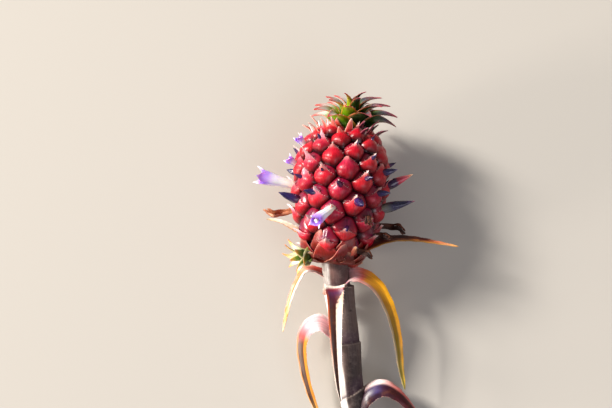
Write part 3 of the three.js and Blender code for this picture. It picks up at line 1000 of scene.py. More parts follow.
@dataclass
class Fruit:
    """The berries, their sepals and bracts, and the dark core between them.

    The bulge is how far a berry's middle stands out, in pitches. The bracts of the resting
    berries are moved out by these millimetres to meet the floor, and those of the bare ones are
    short, so that their sepals show.
    """

    spiral: Spiral
    bulge: float = BERRY_BULGE
    resting: dict[int, float] = field(
        default_factory=lambda: {15: -1.65, 20: 2.4, 23: -0.5, 28: -1.85, 36: 0.97}
    )
    bare: tuple[int, ...] = (40, 48, 50, 58, 61, 71)

    def dome(self, berry: Berry, x: Array, y: Array) -> Array:
        """The height of a berry's boss over its seat.

        Args:
            berry: the berry.
            x: places across, in shares of its pitch.
            y: places up, likewise.

        Returns:
            The height there, likewise.
        """
        rho = np.hypot(x, y) / berry.rim_at(np.arctan2(y, x))
        rim = np.where(rho > 1, -0.9 * (rho - 1), 0)
        bulge = self.bulge * (1 - 0.13 * berry.under)
        return bulge * np.maximum(1 - np.minimum(rho, 1) ** 2.7, 0) ** 0.62 + rim

    def build_boss(self, pile: Pile, berry: Berry, shy: float) -> None:
        """Adds a berry's boss, which shows three sepals that meet at its middle.

        Args:
            pile: the piece.
            berry: the berry.
            shy: 0 low on the fruit and 1 at the crown.
        """
        rings, columns, skirt, seat = 15, 40, 1.12, 0.08
        share = np.sin(np.linspace(0.02, 1, rings) * math.pi / 2)[::-1][:, None]
        share = np.vstack([[skirt], share])
        angle = around(columns)[None, :]
        x = share * berry.rim_at(angle) * np.cos(angle)
        y = share * berry.rim_at(angle) * np.sin(angle)
        from_seat = np.hypot(x, y - seat)
        bearing = np.arctan2(y - seat, x)
        crease = np.abs(np.sin(1.5 * (bearing - math.pi / 2)))
        lobes = np.clip(crease * 4, 0, 1)
        nose = np.exp(-((from_seat / 0.15) ** 2))
        seam = 0.03 * (1 - lobes) * ease(0.02, 0.12, from_seat) * (1 - ease(0.3, 0.5, from_seat))
        points = berry.on(x, y, self.dome(berry, x, y) + 0.06 * nose - seam)
        purple = np.clip(0.1 + 1.1 * (y + 0.1) / 0.6, 0, 1) * (1 - 0.8 * ease(0.55, 0.95, share))
        purple = np.clip(purple + 0.8 * nose, 0, 1)[..., None]
        tint = blend(linear("ac0c26"), "5c103c", purple * (0.85 - 0.15 * shy))
        # The boss's edge, where it meets its neighbours, and the creases between its sepals are painted
        # darker, as shade.
        rim = ease(0.78, 1.0, np.broadcast_to(share, x.shape))[..., None]
        tint = blend(tint, "1c0206", rim) * (0.8 + 0.2 * lobes[..., None])
        # Berries facing away from the light are painted darker and more violet, as shade.
        tint = blend(tint, "5c0a28", 0.3 * berry.painted_shade)
        fibre = np.stack([bearing * 1.6 + berry.index * 3.7, from_seat * berry.pitch], -1)
        tip = berry.on(0.0, seat * 0.2, self.dome(berry, 0.0, 0.0) + 0.055)
        pile.tube(HEAD.place(points), np.clip(tint, 0, 1), fibre, HEAD.place(tip))

    def build_bract(self, pile: Pile, berry: Berry, shy: float) -> None:
        """Adds the pointed bract that covers the lower part of a berry.

        Args:
            pile: the piece.
            berry: the berry.
            shy: 0 low on the fruit and 1 at the crown.
        """
        rings, columns = 22, 13
        tip = self.bract_tip(berry, shy)
        s = steps(rings, 1.2)
        u, side = section(columns)
        side = side * np.sqrt(np.maximum(1 - u**2, 0))
        x, y, z = self.bract_place(berry, s[:, None], u[None, :], tip)
        skin = berry.on(x, y, z + np.where(side > 0, 0.035, 0.03) * side)
        end = self.bract_place(berry, np.array([1.0]), np.array([0.0]), tip)
        point = berry.on(*(float(v[0]) for v in end))
        body = self.bract_colours(berry)
        tint = np.repeat(body.at(s)[:, None], len(u), 1)
        margin = ease(0.84, 1.0, np.abs(u)) * ease(0.45, 0.8, s)[:, None]
        tint = blend(tint, "f4b8b0", margin[..., None] * 0.8)
        rho = np.hypot(x, y) / berry.rim_at(np.arctan2(y, x))
        # The bract's foot is painted darker toward the berry's rim, as shade in the groove between berries.
        groove_shade = ease(0.8, 1.0, rho) * (1 - ease(0.55, 0.75, s)[:, None])
        tint = blend(tint, "3c0408", groove_shade[..., None] * 0.8)
        # The bract is painted darker and redder on berries facing away from the light, as shade.
        tint = blend(tint, "86081c", 0.35 * berry.painted_shade * (1 - ease(0.75, 1, s))[:, None, None])
        # The bract's underside is painted darker, as the shade beneath it.
        tint = np.where((side < -0.01)[:, None], tint * 0.45, tint)
        fibre = np.stack([x * berry.pitch + berry.index * 5.1, y * berry.pitch], -1)
        pile.tube(HEAD.place(skin), tint, fibre, HEAD.place(point))
        self.add_bract_teeth(pile, berry, tip, body)

    def bract_tip(self, berry: Berry, shy: float) -> Tip:
        """Where the tip of a berry's bract stands: longer toward the crown and the light.

        Args:
            berry: the berry.
            shy: 0 low on the fruit and 1 at the crown.

        Returns:
            The tip.
        """
        k, lit, free = berry.index, berry.lit, 1 - berry.under
        height = (0.2 if k in self.bare else 1) * (0.52 * shy + 0.25 * shy * lit)
        out = (0.26 * shy + (0.2 + 0.3 * shy) * lit) * free
        return Tip(
            up=0.17 + height + 0.1 * math.sin(k * 2.7) + 0.05 * lit,
            out=0.08 + out + 0.06 * free * math.sin(k * 4.1) + self.resting.get(k, 0) / berry.pitch,
            aside=0.09 * math.sin(k * 3.3), waist=0.4 - 0.25 * shy, keel=1 - 0.9 * berry.under,
        )

    def bract_colours(self, berry: Berry) -> Gradient:
        """The colours of a bract from its foot to its tip, which are browner low on the fruit.

        Args:
            berry: the berry.

        Returns:
            The colours.
        """
        if berry.height < 4.5:
            return Gradient("0 5a1c14 25 98362a 60 b4503e 85 c98462 100 e4b888")
        ruddy = 0.5 + 0.5 * math.sin(berry.index * 5.3)
        middle = ("c20a22", "b00c30", "d01826")[int(ruddy * 2.99)]
        upper = ("ce1a34", "c22448", "e03640")[int(ruddy * 2.99)]
        # Berries facing the light get a paler gradient, a painted highlight.
        if berry.lit > 0.4:
            return Gradient(f"0 5c0810 14 a01420 40 {middle} 60 dc3c50 76 f08c9c 100 fff0f0")
        return Gradient(f"0 5c0810 14 940e1a 40 {middle} 66 {upper} 84 e88c88 100 fde8e2")

    def bract_place(self, berry: Berry, s: Array, u: Array, tip: Tip) -> tuple[Array, Array, Array]:
        """Places on a bract's sheet.

        Args:
            berry: the berry.
            s: places from its foot to its tip.
            u: places across from -1 to 1.
            tip: where its tip stands.

        Returns:
            Places across, up and out in shares of the pitch.
        """
        s, u = np.broadcast_arrays(s, u)
        shoulder, clearance = 0.42, 0.012
        q = np.clip((s - shoulder) / (1 - shoulder), 0, 1)
        foot = 0.4 + 0.6 * np.sin(math.pi / 2 * np.clip(s / shoulder, 0, 1))
        width = 0.62 * foot * (1 - q) ** 1.1 * (1 - tip.waist * np.sin(math.pi * q) ** 1.2)
        x = u * width + tip.aside * q**2
        y = -0.58 + s * (0.58 + tip.up) + 0.1 * (1 - q) * u**2 * np.minimum(s / shoulder, 1)
        rho = np.hypot(x, y) / berry.rim_at(np.arctan2(y, x))
        inside = np.where(y < 0.25, np.minimum(1, 0.985 / np.maximum(rho, 1e-6)), 1)
        x, y = x * inside, y * inside
        lift = tip.out * np.maximum(q - 0.25, 0) ** 2 / 0.75**2
        keel = tip.keel * 0.08 * (1 - np.abs(u)) ** 1.3 * (0.3 + 0.7 * q) * np.clip(s / 0.3, 0, 1)
        belly = tip.keel * 0.035 * np.sin(math.pi * np.clip(s * 1.2, 0, 1)) * (1 - u**2)
        return x, y, np.maximum(self.dome(berry, x, y), -0.02) + clearance + lift + keel + belly

    def add_bract_teeth(self, pile: Pile, berry: Berry, tip: Tip, body: Gradient) -> None:
        """Adds the fine teeth near a bract's tip.

        Args:
            pile: the piece.
            berry: the berry.
            tip: where the bract's tip stands.
            body: the bract's colours from foot to tip.
        """
        count, share = 7, 0.058
        order = np.arange(count)
        turn = turn_y(HEAD.lean).T
        s = np.linspace(0.52, 0.96, count) + 0.012 * np.sin(berry.index + order * 2.3)
        for sign in (-1.0, 1.0):
            edge = np.full(count, sign)
            here = berry.on(*self.bract_place(berry, s, edge, tip))
            later = berry.on(*self.bract_place(berry, s + 0.02, edge, tip))
            size = berry.pitch * share * (0.8 + 0.3 * np.sin(berry.index * 1.7 + order * 4.1))[:, None]
            reach = (berry.side * sign * 0.8 + berry.up * 0.75 + berry.out * 0.35) * size
            sides = unit(later - here) * 0.32 * size
            tints = 0.35 * body.at(s) + 0.65 * linear("fbe0dc")
            pile.spines(HEAD.place(here), reach @ turn, sides @ turn, tints)

    def build_ruff(self, pile: Pile, ruff: Ruff) -> None:
        """Adds a ring of bracts round the fruit's axis.

        Args:
            pile: the piece.
            ruff: the ring.
        """
        turn = turn_y(HEAD.lean).T
        for k in range(ruff.count):
            angle = ruff.first + k / ruff.count * 2 * math.pi + 0.12 * math.sin(k * 5.1)
            outward = np.array([math.sin(angle), -math.cos(angle), 0.0])
            stretch = 1 + 0.1 * math.sin(k * 3.7)
            start = ruff.route[0]
            points = []
            for i, (radius, height) in enumerate(ruff.route):
                flat = outward * (start[0] + (radius - start[0]) * stretch)
                point = flat + UP * (start[1] + (height - start[1]) * stretch)
                points.append(turn_z(ruff.sway * i / len(ruff.route)) @ point)
            across = np.cross(outward, UP)
            across = unit(across + UP * ruff.twist * across[1]) @ turn
            # Bracts on the right, away from the light, take the colours painted as shade.
            shaded = outward[0] > 0.25 and ruff.shade
            Blade(
                Route(HEAD.place(np.array(points))), (across, across), width=ruff.width, thickness=0.5,
                channel=ruff.channel, colours=ruff.shade if shaded else ruff.colours, taper=ruff.taper,
                rings=22, columns=9, tooth=ruff.tooth, belly=ruff.belly, foot_width=0.8,
            ).build(pile)

    def build_core(self, pile: Pile) -> None:
        """Adds the dark skin that shows in the grooves between the berries.

        Args:
            pile: the piece.
        """
        s = self.spiral
        heights = np.linspace(0, s.height, 40)[:, None]
        angle = around(64)[None, :]
        radius = s.outline(heights) * s.core_share + 0.35
        rings = np.stack([radius * np.cos(angle), radius * np.sin(angle), heights + 0 * angle], -1)
        fibre = np.stack([angle * 16 + 0 * heights, heights + 0 * angle], -1)
        tint = Gradient("0 2c1408 40 360c0c 100 2c0a10").at(heights / s.height)
        pile.tube(HEAD.place(rings), np.broadcast_to(tint, rings.shape), fibre)

    def build(self, effects: Effects) -> None:
        """Makes the fruit's pieces.

        Args:
            effects: the shared node groups.
        """
        berries = self.spiral.berries()
        core = Pile()
        self.build_core(core)
        core.object("fruit_core", Look.CORE.made(effects), "fruit_skin", "fruit")
        thirds = (("lower", 0, 25, RUFFS_LOW), ("middle", 25, 51, ()), ("upper", 51, 76, RUFFS_HIGH))
        for name, first, last, ruffs in thirds:
            bosses, bracts = Pile(), Pile()
            for berry in berries[first:last]:
                shy = float(ease(0.32, 0.8, berry.height / self.spiral.height))
                self.build_boss(bosses, berry, shy)
                self.build_bract(bracts, berry, shy)
            for ruff in ruffs:
                self.build_ruff(bracts, ruff)
            bosses.object(f"sepals_{name}", Look.FLESH.made(effects), "fruit_skin", "fruit")
            bracts.object(f"bracts_{name}", Look.BRACT.made(effects), "fruit_skin", "fruit")


# Flowers.


class Kind(Enum):
    """The kinds of flower."""

    OPEN = "open"
    BUD = "bud"
    LONG = "long"
    WITHERED = "withered"
    SMALL = "small"


@dataclass(frozen=True)
class Bloom:
    """A flower: its berry, its kind, how it is turned and its scale."""

    berry: int
    kind: Kind
    side: float
    rise: float
    scale: float = 1.0
    node: str = ""
    warm: bool = False


# The turns of the blooms are in degrees.
BLOOMS = (
    Bloom(30, Kind.OPEN, 0, 3, 1.05, "flower_open_1"),
    Bloom(19, Kind.OPEN, -38, -34, 0.72, "flower_open_2"),
    Bloom(43, Kind.OPEN, 6, 14, 0.32, "flower_open_3"),
    Bloom(56, Kind.OPEN, 4, 10, 0.32, "flower_open_4"),
    Bloom(22, Kind.BUD, -14, 14, 1.4, "flower_bud_1"),
    Bloom(27, Kind.BUD, -38, 0, 0.8, "flower_bud_2"),
    Bloom(24, Kind.BUD, 0, -16, 1.2, "flower_bud_3"),
    Bloom(29, Kind.BUD, 22, 0, 0.85, "flower_bud_4"),
    Bloom(42, Kind.BUD, 20, 4, 0.95, "flower_bud_5"),
    Bloom(34, Kind.LONG, 6, 18, 0.95, "flower_long_1", True),
    Bloom(21, Kind.LONG, 4, 16, 1.12, "flower_long_2"),
    Bloom(38, Kind.BUD, 0, 0, 0.8, "flower_bud_6"),
    Bloom(17, Kind.WITHERED, 0, -14, 1.45, "flower_withered_1", True),
    Bloom(13, Kind.WITHERED, 0, 4, 1.35, "flower_withered_2"),
    Bloom(16, Kind.WITHERED, -48, -12, 0.9, "flower_withered_3"),
    Bloom(8, Kind.WITHERED, 12, 22, 0.95, "flower_withered_4"),
    Bloom(3, Kind.WITHERED, 55, 2, 0.95, "flower_withered_5"),
    Bloom(32, Kind.SMALL, -14, 8, 1.5),
    Bloom(37, Kind.SMALL, 10, 0, 1.3),
    Bloom(35, Kind.SMALL, -20, 6, 1.1),
    Bloom(63, Kind.SMALL, 10, 10, 0.7),
    Bloom(47, Kind.SMALL, 10, 8, 1.1),
    Bloom(50, Kind.SMALL, 0, 10, 1.0),
    Bloom(11, Kind.SMALL, -10, -20, 1.0),
    Bloom(25, Kind.SMALL, 0, 10, 1.2),
    Bloom(51, Kind.SMALL, -20, 10, 1.1),
    Bloom(46, Kind.SMALL, 0, 10, 1.1),
    Bloom(33, Kind.SMALL, 0, 10, 1.2),
    Bloom(40, Kind.SMALL, 0, 10, 0.8),
    Bloom(58, Kind.SMALL, 10, 10, 0.75),
    Bloom(61, Kind.SMALL, -14, 12, 0.9),
)


@dataclass
class Flowers:
    """Every flower and bud on the fruit."""

    spiral: Spiral
    socket: float = 1.2
    seat: float = 0.08
    bulge: float = BERRY_BULGE
    open_length: float = 13.5
    open_radii: tuple[float, ...] = (1.2, 1.5, 1.75, 2.2, 2.5)
    bud_length: float = 6.0
    bud_radii: tuple[float, ...] = (1.1, 1.5, 1.35, 0.9)
    small_length: float = 3.4
    small_radii: tuple[float, ...] = (0.9, 1.0, 0.8, 0.5)
    long_length: float = 11.5
    long_radii: tuple[float, ...] = (1.3, 1.9, 1.8, 1.3, 0.7)
    withered_length: float = 8.0

    def placed(self, berry: Berry, bloom: Bloom, points: Array) -> Array:
        """Puts a flower on its berry.

        Args:
            berry: the berry.
            bloom: the flower.
            points: its points, where it stands along +Z.

        Returns:
            The points in the upright frame.
        """
        aim = turned(berry.out, berry.side, math.radians(-bloom.rise))
        aim = turned(aim, berry.up, math.radians(bloom.side))
        seat = berry.on(0.0, self.seat, self.bulge)
        return HEAD.place(points @ toward(aim).T + seat)

    def build_open(self, pile: Pile, berry: Berry, bloom: Bloom) -> None:
        """Adds an open flower: three long petals rolled into a tube, with free pointed tips.

        Args:
            pile: the piece.
            berry: its berry.
            bloom: the flower.
        """
        top, size = self.open_length * bloom.scale, math.sqrt(bloom.scale)
        outer = Gradient("0 e6b8a4 25 f4e6da 55 efe4f4 72 b896ee 90 a880ee 100 d4c0fa")
        inner = Gradient("0 7a4fd0 60 7a48d8 82 9a6ae6 93 d6c2f6 100 faf6ff")
        rings, columns, petals = 30, 13, 3
        s = steps(rings, 1.3)
        length = top + self.socket + 1.2 * size
        z = -self.socket + s * length
        radius = np.interp(s, np.linspace(0, 0.8, 5), self.open_radii) * size
        flare = 1.1 * size * np.maximum(s - 0.78, 0) ** 2 / 0.22**2
        u, face = section(columns)
        skin = face * np.sqrt(1 - u**4)
        spread = math.radians(78) * (1 - ease(0.7, 1.02, s) ** 1.3)[:, None]
        roll = 0.22 * u * (1 - ease(0.8, 1, s))[:, None]
        r = (radius + flare)[:, None] + 0.14 * skin + roll
        bend = 0.25 * size * np.sin(math.pi * s)[:, None]
        drop = 0.9 * size * u**2 * ease(0.72, 1, s)[:, None] * 0.6
        reach = radius[-1] + 1.25 * size
        for petal in range(petals):
            tip_angle = (petal / petals + 0.08) * 2 * math.pi
            angle = tip_angle + u * spread
            skins = np.stack([r * np.cos(angle), r * np.sin(angle) + bend, z[:, None] - drop], -1)
            tip = np.array([reach * math.cos(tip_angle), reach * math.sin(tip_angle), top + 1.2 * size])
            tint = np.where((skin >= 0)[:, None], outer.at(s)[:, None], inner.at(s)[:, None])
            violet = (ease(0.62, 0.78, s) * (1 - ease(0.84, 0.95, s)))[:, None] * np.abs(u) ** 2
            tint = blend(tint, "8a5be0", (violet * 0.75)[..., None])
            fibre = np.stack([u * 2 + petal * 4 + 0 * s[:, None], np.repeat(z[:, None], len(u), 1)], -1)
            pile.tube(self.placed(berry, bloom, skins), tint, fibre, self.placed(berry, bloom, tip[None])[0])
        self.build_stamens(pile, berry, bloom, top, size)

    def build_stamens(self, pile: Pile, berry: Berry, bloom: Bloom, top: float, size: float) -> None:
        """Adds the stamens and the style inside an open flower.

        Args:
            pile: the piece.
            berry: its berry.
            bloom: the flower.
            top: the height of its mouth.
            size: its scale across.
        """
        ring = around(8)
        circle = np.stack([np.cos(ring), np.sin(ring)], -1)
        for k in range(7):
            angle = k / 6 * 2 * math.pi
            lean = 0.0 if k == 6 else 0.75 * size
            z = np.array([0.1, 0.6, 0.8, 0.84, 0.93]) * top
            wide = np.array([0.12, 0.12, 0.14, 0.32, 0.22]) * size
            middle = np.stack([lean * math.cos(angle) * (z / top), lean * math.sin(angle) * (z / top)], -1)
            flat = middle[:, None] + wide[:, None, None] * circle
            rings = np.concatenate([flat, np.broadcast_to(z[:, None, None], (*flat.shape[:2], 1))], -1)
            colour = linear("f3e8c8") if k < 6 else linear("e8ddf6")
            pile.tube(self.placed(berry, bloom, rings), colour, np.zeros(2))

    def build_spindle(self, pile: Pile, berry: Berry, bloom: Bloom) -> None:
        """Adds a bud or a closing flower: rolled petals that twist to a point.

        Args:
            pile: the piece.
            berry: its berry.
            bloom: the flower.
        """
        if bloom.kind is Kind.LONG:
            length, radii = self.long_length, self.long_radii
            colours = Gradient("0 8c8a74 20 7c7c74 40 3a3658 70 1c1640 90 3a1c3e 100 b8607a")
            if bloom.warm:
                colours = Gradient("0 5c1430 25 2c1440 42 3c1848 50 b8203c 72 e85c70 88 f0906a 100 f8dca8")
        elif bloom.kind is Kind.BUD:
            length, radii = self.bud_length, self.bud_radii
            colours = Gradient("0 6a2038 20 55203f 42 2c1a52 80 1e1644 100 2a1850")
        else:
            length, radii = self.small_length, self.small_radii
            colours = Gradient("0 6a2038 40 4a1c48 80 241848 100 2a1850")
        top, size = length * bloom.scale, math.sqrt(bloom.scale)
        rings, columns = 24, 30
        s = steps(rings, 1)
        places = np.append(np.linspace(0, 1, len(radii) + 1)[:-1], 1.0)
        radius = np.interp(s, places, [*radii, 0.0]) * size
        radius = np.maximum(radius, 0.05)
        radius = np.convolve(np.pad(radius, 2, mode="edge"), [0.1, 0.2, 0.4, 0.2, 0.1], "valid")
        angle = around(columns)[None, :]
        twist = angle - 1.9 * s[:, None]
        petal = ((twist / (2 * math.pi)) * 3) % 1 - 0.5
        crease = 0.09
        seam = 1 - crease * np.exp(-(petal**2) / 0.012)
        r = radius[:, None] * seam * (1 + 0.05 * petal)
        z = -self.socket + s * (top + self.socket)
        skin = np.stack([r * np.cos(angle), r * np.sin(angle), z[:, None] + 0 * angle], -1)
        # The creases between the petals are painted darker, as shade.
        shown = 0.6 + 0.4 * ((seam - (1 - crease)) / crease)
        tint = np.repeat(colours.at(s)[:, None], columns, 1) * shown[..., None]
        fibre = np.stack([angle * 2 + 0 * s[:, None] + berry.index, z[:, None] + 0 * angle], -1)
        tip = self.placed(berry, bloom, np.array([[0, 0, top]]))[0]
        pile.tube(self.placed(berry, bloom, skin), np.clip(tint, 0, 1), fibre, tip)

    def build_withered(self, pile: Pile, berry: Berry, bloom: Bloom) -> None:
        """Adds a withered flower: a crumpled tube with curled strands.

        Args:
            pile: the piece.
            berry: its berry.
            bloom: the flower.
        """
        top = self.withered_length * bloom.scale
        seed = np.random.default_rng(berry.index)
        rings, columns, strands = 22, 12, 5
        ring = around(columns)
        tones = ("c06a3c", "e8a886", "a4562c") if bloom.warm else ("4a2014", "6a3218", "2c120e")
        for k in range(strands):
            lean = k / strands * 2 * math.pi
            bend = 0.22 * top
            curl = (0.5 + 0.5 * seed.random()) * (1.0 if k else 0.2)
            x, y = 0.35 * np.array([math.cos(lean), math.sin(lean)])
            route = Route([
                (x, y, -self.socket),
                (x * 2, y + 0.6 * bend, 0.4 * top),
                (x * 3, y - 0.5 * bend, 0.72 * top),
                (0.8 * bend + curl * x * 4, curl * y * 5, (0.86 + 0.14 * seed.random()) * top),
                (0.8 * bend + curl * x * 2, curl * y * 8, (0.78 + 0.2 * seed.random()) * top),
            ])
            s = np.linspace(0, 1, rings)
            frame_x = unit(np.cross(route.along(s), np.array([0.3, 1.0, 0.1])))
            frame_y = np.cross(route.along(s), frame_x)
            wide = (0.62 - 0.42 * s) * (1 + 0.25 * np.sin(s * 23 + k)) * bloom.scale**0.5
            flat = 0.45 + 0.2 * np.sin(s * 11 + 2 * k)
            skin = (
                route.at(s)[:, None]
                + frame_x[:, None] * (wide[:, None] * np.cos(ring))[..., None]
                + frame_y[:, None] * (wide * flat)[:, None, None] * np.sin(ring)[None, :, None]
            )
            tint = Gradient(f"0 {tones[0]} 60 {tones[1] if k % 2 else tones[2]} 100 {tones[1]}").at(s)
            heights = np.repeat(s[:, None] * top, columns, 1)
            fibre = np.stack([np.repeat(ring[None] + k * 3, rings, 0), heights], -1)
            pile.tube(self.placed(berry, bloom, skin), np.repeat(tint[:, None], columns, 1), fibre)

    def build(self, effects: Effects) -> None:
        """Makes a piece for each kind of flower.

        Args:
            effects: the shared node groups.
        """
        berries = self.spiral.berries()
        makers = {
            Kind.OPEN: self.build_open,
            Kind.BUD: self.build_spindle,
            Kind.SMALL: self.build_spindle,
            Kind.LONG: self.build_spindle,
            Kind.WITHERED: self.build_withered,
        }
        for name, kinds, look, slot in (
            ("open_flowers", (Kind.OPEN,), Look.PETAL, "corolla"),
            ("flower_buds", (Kind.BUD, Kind.SMALL, Kind.LONG), Look.BUD, "bud"),
            ("withered_flowers", (Kind.WITHERED,), Look.WITHERED, "withered"),
        ):
            pile = Pile()
            blooms = [bloom for bloom in BLOOMS if bloom.kind in kinds]
            for bloom in blooms:
                makers[bloom.kind](pile, berries[bloom.berry], bloom)
            pile.object(name, look.made(effects), slot, *[bloom.node for bloom in blooms if bloom.node])


# Crown and side shoot.


@dataclass(frozen=True)
class ShootSizes:
    """The sizes of a leafy shoot, from its outer to its inner leaves."""

    leaves: int
    stem_radius: float
    stem_tip: float
    stem_height: float
    leaf_length: float
    inner_length: float
    leaf_width: float
    inner_width: float
    rise: float
    inner_rise: float
    curl: float
    thickness: float
    foot_rise: float


@dataclass
class Shoot:
    """A rosette of toothed leaves on a short stem: the crown, or the side shoot.

    The leaves twist toward the viewer, and hook is how far their tips bend over.
    """

    name: str
    node: str
    sizes: ShootSizes
    at: Array
    direction: Array
    colours: BladeColours
    shade_colours: BladeColours
    tooth: float = 0.45
    twist: float = 0.0
    fullness: float = 1.04
    first: float = 0.0
    hook: float = 0.0

    def placed(self, points: Array) -> Array:
        """Points of the shoot's own frame, in the upright frame."""
        return HEAD.place(points @ toward(unit(self.direction)).T + self.at)

    def leaf(self, i: int) -> Blade:
        """One leaf of the shoot.

        Args:
            i: its place in the spiral, from the outermost.

        Returns:
            The leaf.
        """
        z = self.sizes
        t = i / (z.leaves - 1)
        angle = self.first + i * GOLDEN
        radial = np.array([math.sin(angle), -math.cos(angle), 0.0])

        def mix(outer: float, inner: float) -> float:
            """A value between the outer and the inner leaf's."""
            return outer + (inner - outer) * t

        def slanted(angle: float) -> Array:
            """The direction that rises at an angle over the radial one."""
            return radial * math.cos(angle) + UP * math.sin(angle)

        length = mix(0.95 * z.leaf_length, 1.16 * z.inner_length) * (1 + 0.1 * math.sin(i * 2.4))
        rise = mix(z.rise, z.inner_rise)
        foot = radial * mix(0.7 * z.stem_radius, 0.7) + UP * mix(z.foot_rise, 0.45 * z.stem_height)
        bend = foot + slanted(rise + math.radians(12)) * 0.55 * length
        tip = bend + slanted(rise - mix(z.curl, 0.4 * z.curl)) * 0.5 * length
        share = np.linspace(0, 1, 9)
        over = np.maximum(share - 0.42, 0)[:, None] ** 2 * length * self.hook * mix(0.35, 1)
        hooked = arc(foot, bend, tip).at(share) + (radial - UP * 0.8) * over
        wide = np.cross(radial, UP)
        wide = unit(wide + UP * self.twist * wide[1])
        turn = toward(unit(self.direction)).T @ turn_y(HEAD.lean).T
        colours = self.colours if radial[0] < 0.06 else self.shade_colours
        return Blade(
            route=Route(self.placed(hooked)), across=(wide @ turn, wide @ turn),
            width=mix(z.leaf_width, z.inner_width) * self.fullness * mix(1.12, 0.9),
            thickness=z.thickness * 0.8, channel=0.4, colours=colours, rings=28, columns=13,
            tooth=self.tooth * (1 - 0.4 * t), tooth_gap=1.0, tooth_span=(0.2, 0.94),
            taper=mix(0.62, 0.4), belly=0.2,
        )

    def build(self, effects: Effects) -> None:
        """Makes the shoot's piece.

        Args:
            effects: the shared node groups.
        """
        z = self.sizes
        pile = Pile()
        heights = np.linspace(0, z.stem_height, 12)
        radii = [0.96 * z.stem_radius, 0.58 * (z.stem_radius + z.stem_tip), z.stem_tip, 0.3]
        places = [0, z.stem_height / 3, z.stem_height * 2 / 3, z.stem_height]
        radius = np.interp(heights, places, radii)[:, None]
        angle = around(28)[None, :]
        rings = np.stack([radius * np.cos(angle), radius * np.sin(angle), heights[:, None] + 0 * angle], -1)
        pile.tube(self.placed(rings), linear("4c5a1c"), np.zeros(2))
        for i in range(z.leaves):
            self.leaf(i).build(pile)
        pile.object(self.name, Look.CROWN.made(effects), "green_leaf", self.node)


LIT_GREEN = BladeColours(
    face=Gradient("0 54780c 35 84b018 50 98b848 64 c4ccc0 82 c8aca8 93 d4504c 100 c42834"),
    back=Gradient("0 1c3c06 28 4c7c0c 50 98b414 70 c8b840 86 d88c50 100 d83c40"),
    left=Gradient("0 c8b030 35 e8842c 70 e84c34 100 d83c40"),
    right=Gradient("0 c8b030 35 e8842c 70 e84c34 100 d83c40"),
    teeth=plain("f8d8c8"), left_edge=0.85, right_edge=0.85,
)
SHADE_GREEN = BladeColours(
    face=Gradient("0 182c0a 40 34540f 58 44583a 72 504a5c 86 742c40 100 b02c40"),
    back=Gradient("0 0a1204 35 1c3408 60 284010 80 2a1a24 100 5a2038"),
    left=Gradient("0 3a3c14 40 c0602a 70 84302c 100 9a4458"),
    right=Gradient("0 3a3c14 40 c0602a 70 84302c 100 9a4458"),
    teeth=plain("d8968c"), left_edge=0.84, right_edge=0.84,
)
# The faces are near-white in the middle, partly the leaf's cream and partly a painted highlight from the
# light on them.
CREAM_GREEN = BladeColours(
    face=Gradient("0 b4cc60 25 eef2cc 60 fffcee 80 f8d478 100 ec7830"),
    back=Gradient("0 14300a 35 2c4c10 60 6c8c20 80 e0c050 100 f08c3c"),
    left=Gradient("0 8aa030 50 f0ecc0 80 f4c070 100 f07c40"),
    right=Gradient("0 8aa030 50 f0ecc0 80 f4c070 100 f07c40"),
    teeth=plain("fdf4cc"), left_edge=0.78, right_edge=0.78,
)


def crown() -> Shoot:
    """The leafy crown on top of the fruit.

    Returns:
        The crown.
    """
    sizes = ShootSizes(
        leaves=26, stem_radius=6.8, stem_tip=1.6, stem_height=7, leaf_length=15.5, inner_length=12.4,
        leaf_width=8.2, inner_width=3.8, rise=math.radians(38), inner_rise=math.radians(82),
        curl=math.radians(60), thickness=0.7, foot_rise=1,
    )
    lean = math.radians(3)
    direction = np.array([math.sin(lean), 0, math.cos(lean)])
    at = np.array([1.6, 0, 47.7])
    return Shoot(
        "crown_leaves", "crown", sizes, at, direction, LIT_GREEN, SHADE_GREEN,
        twist=0.7, fullness=1.15, first=math.radians(-30), hook=0.7,
    )


def slip() -> Shoot:
    """The small side shoot under the fruit.

    Returns:
        The shoot.
    """
    sizes = ShootSizes(
        leaves=10, stem_radius=2.2, stem_tip=0.9, stem_height=8, leaf_length=9.2, inner_length=8.4,
        leaf_width=5.2, inner_width=2.6, rise=math.radians(48), inner_rise=math.radians(76),
        curl=math.radians(28), thickness=0.5, foot_rise=3,
    )
    at, direction = np.array([-6.6, -3.6, 0.6]), np.array([-0.92, -0.3, -0.26])
    return Shoot(
        "side_shoot", "slip", sizes, at, direction, CREAM_GREEN, CREAM_GREEN,
        tooth=0.3, fullness=1.35, hook=0.25,
    )


# Stalk and its leaves.


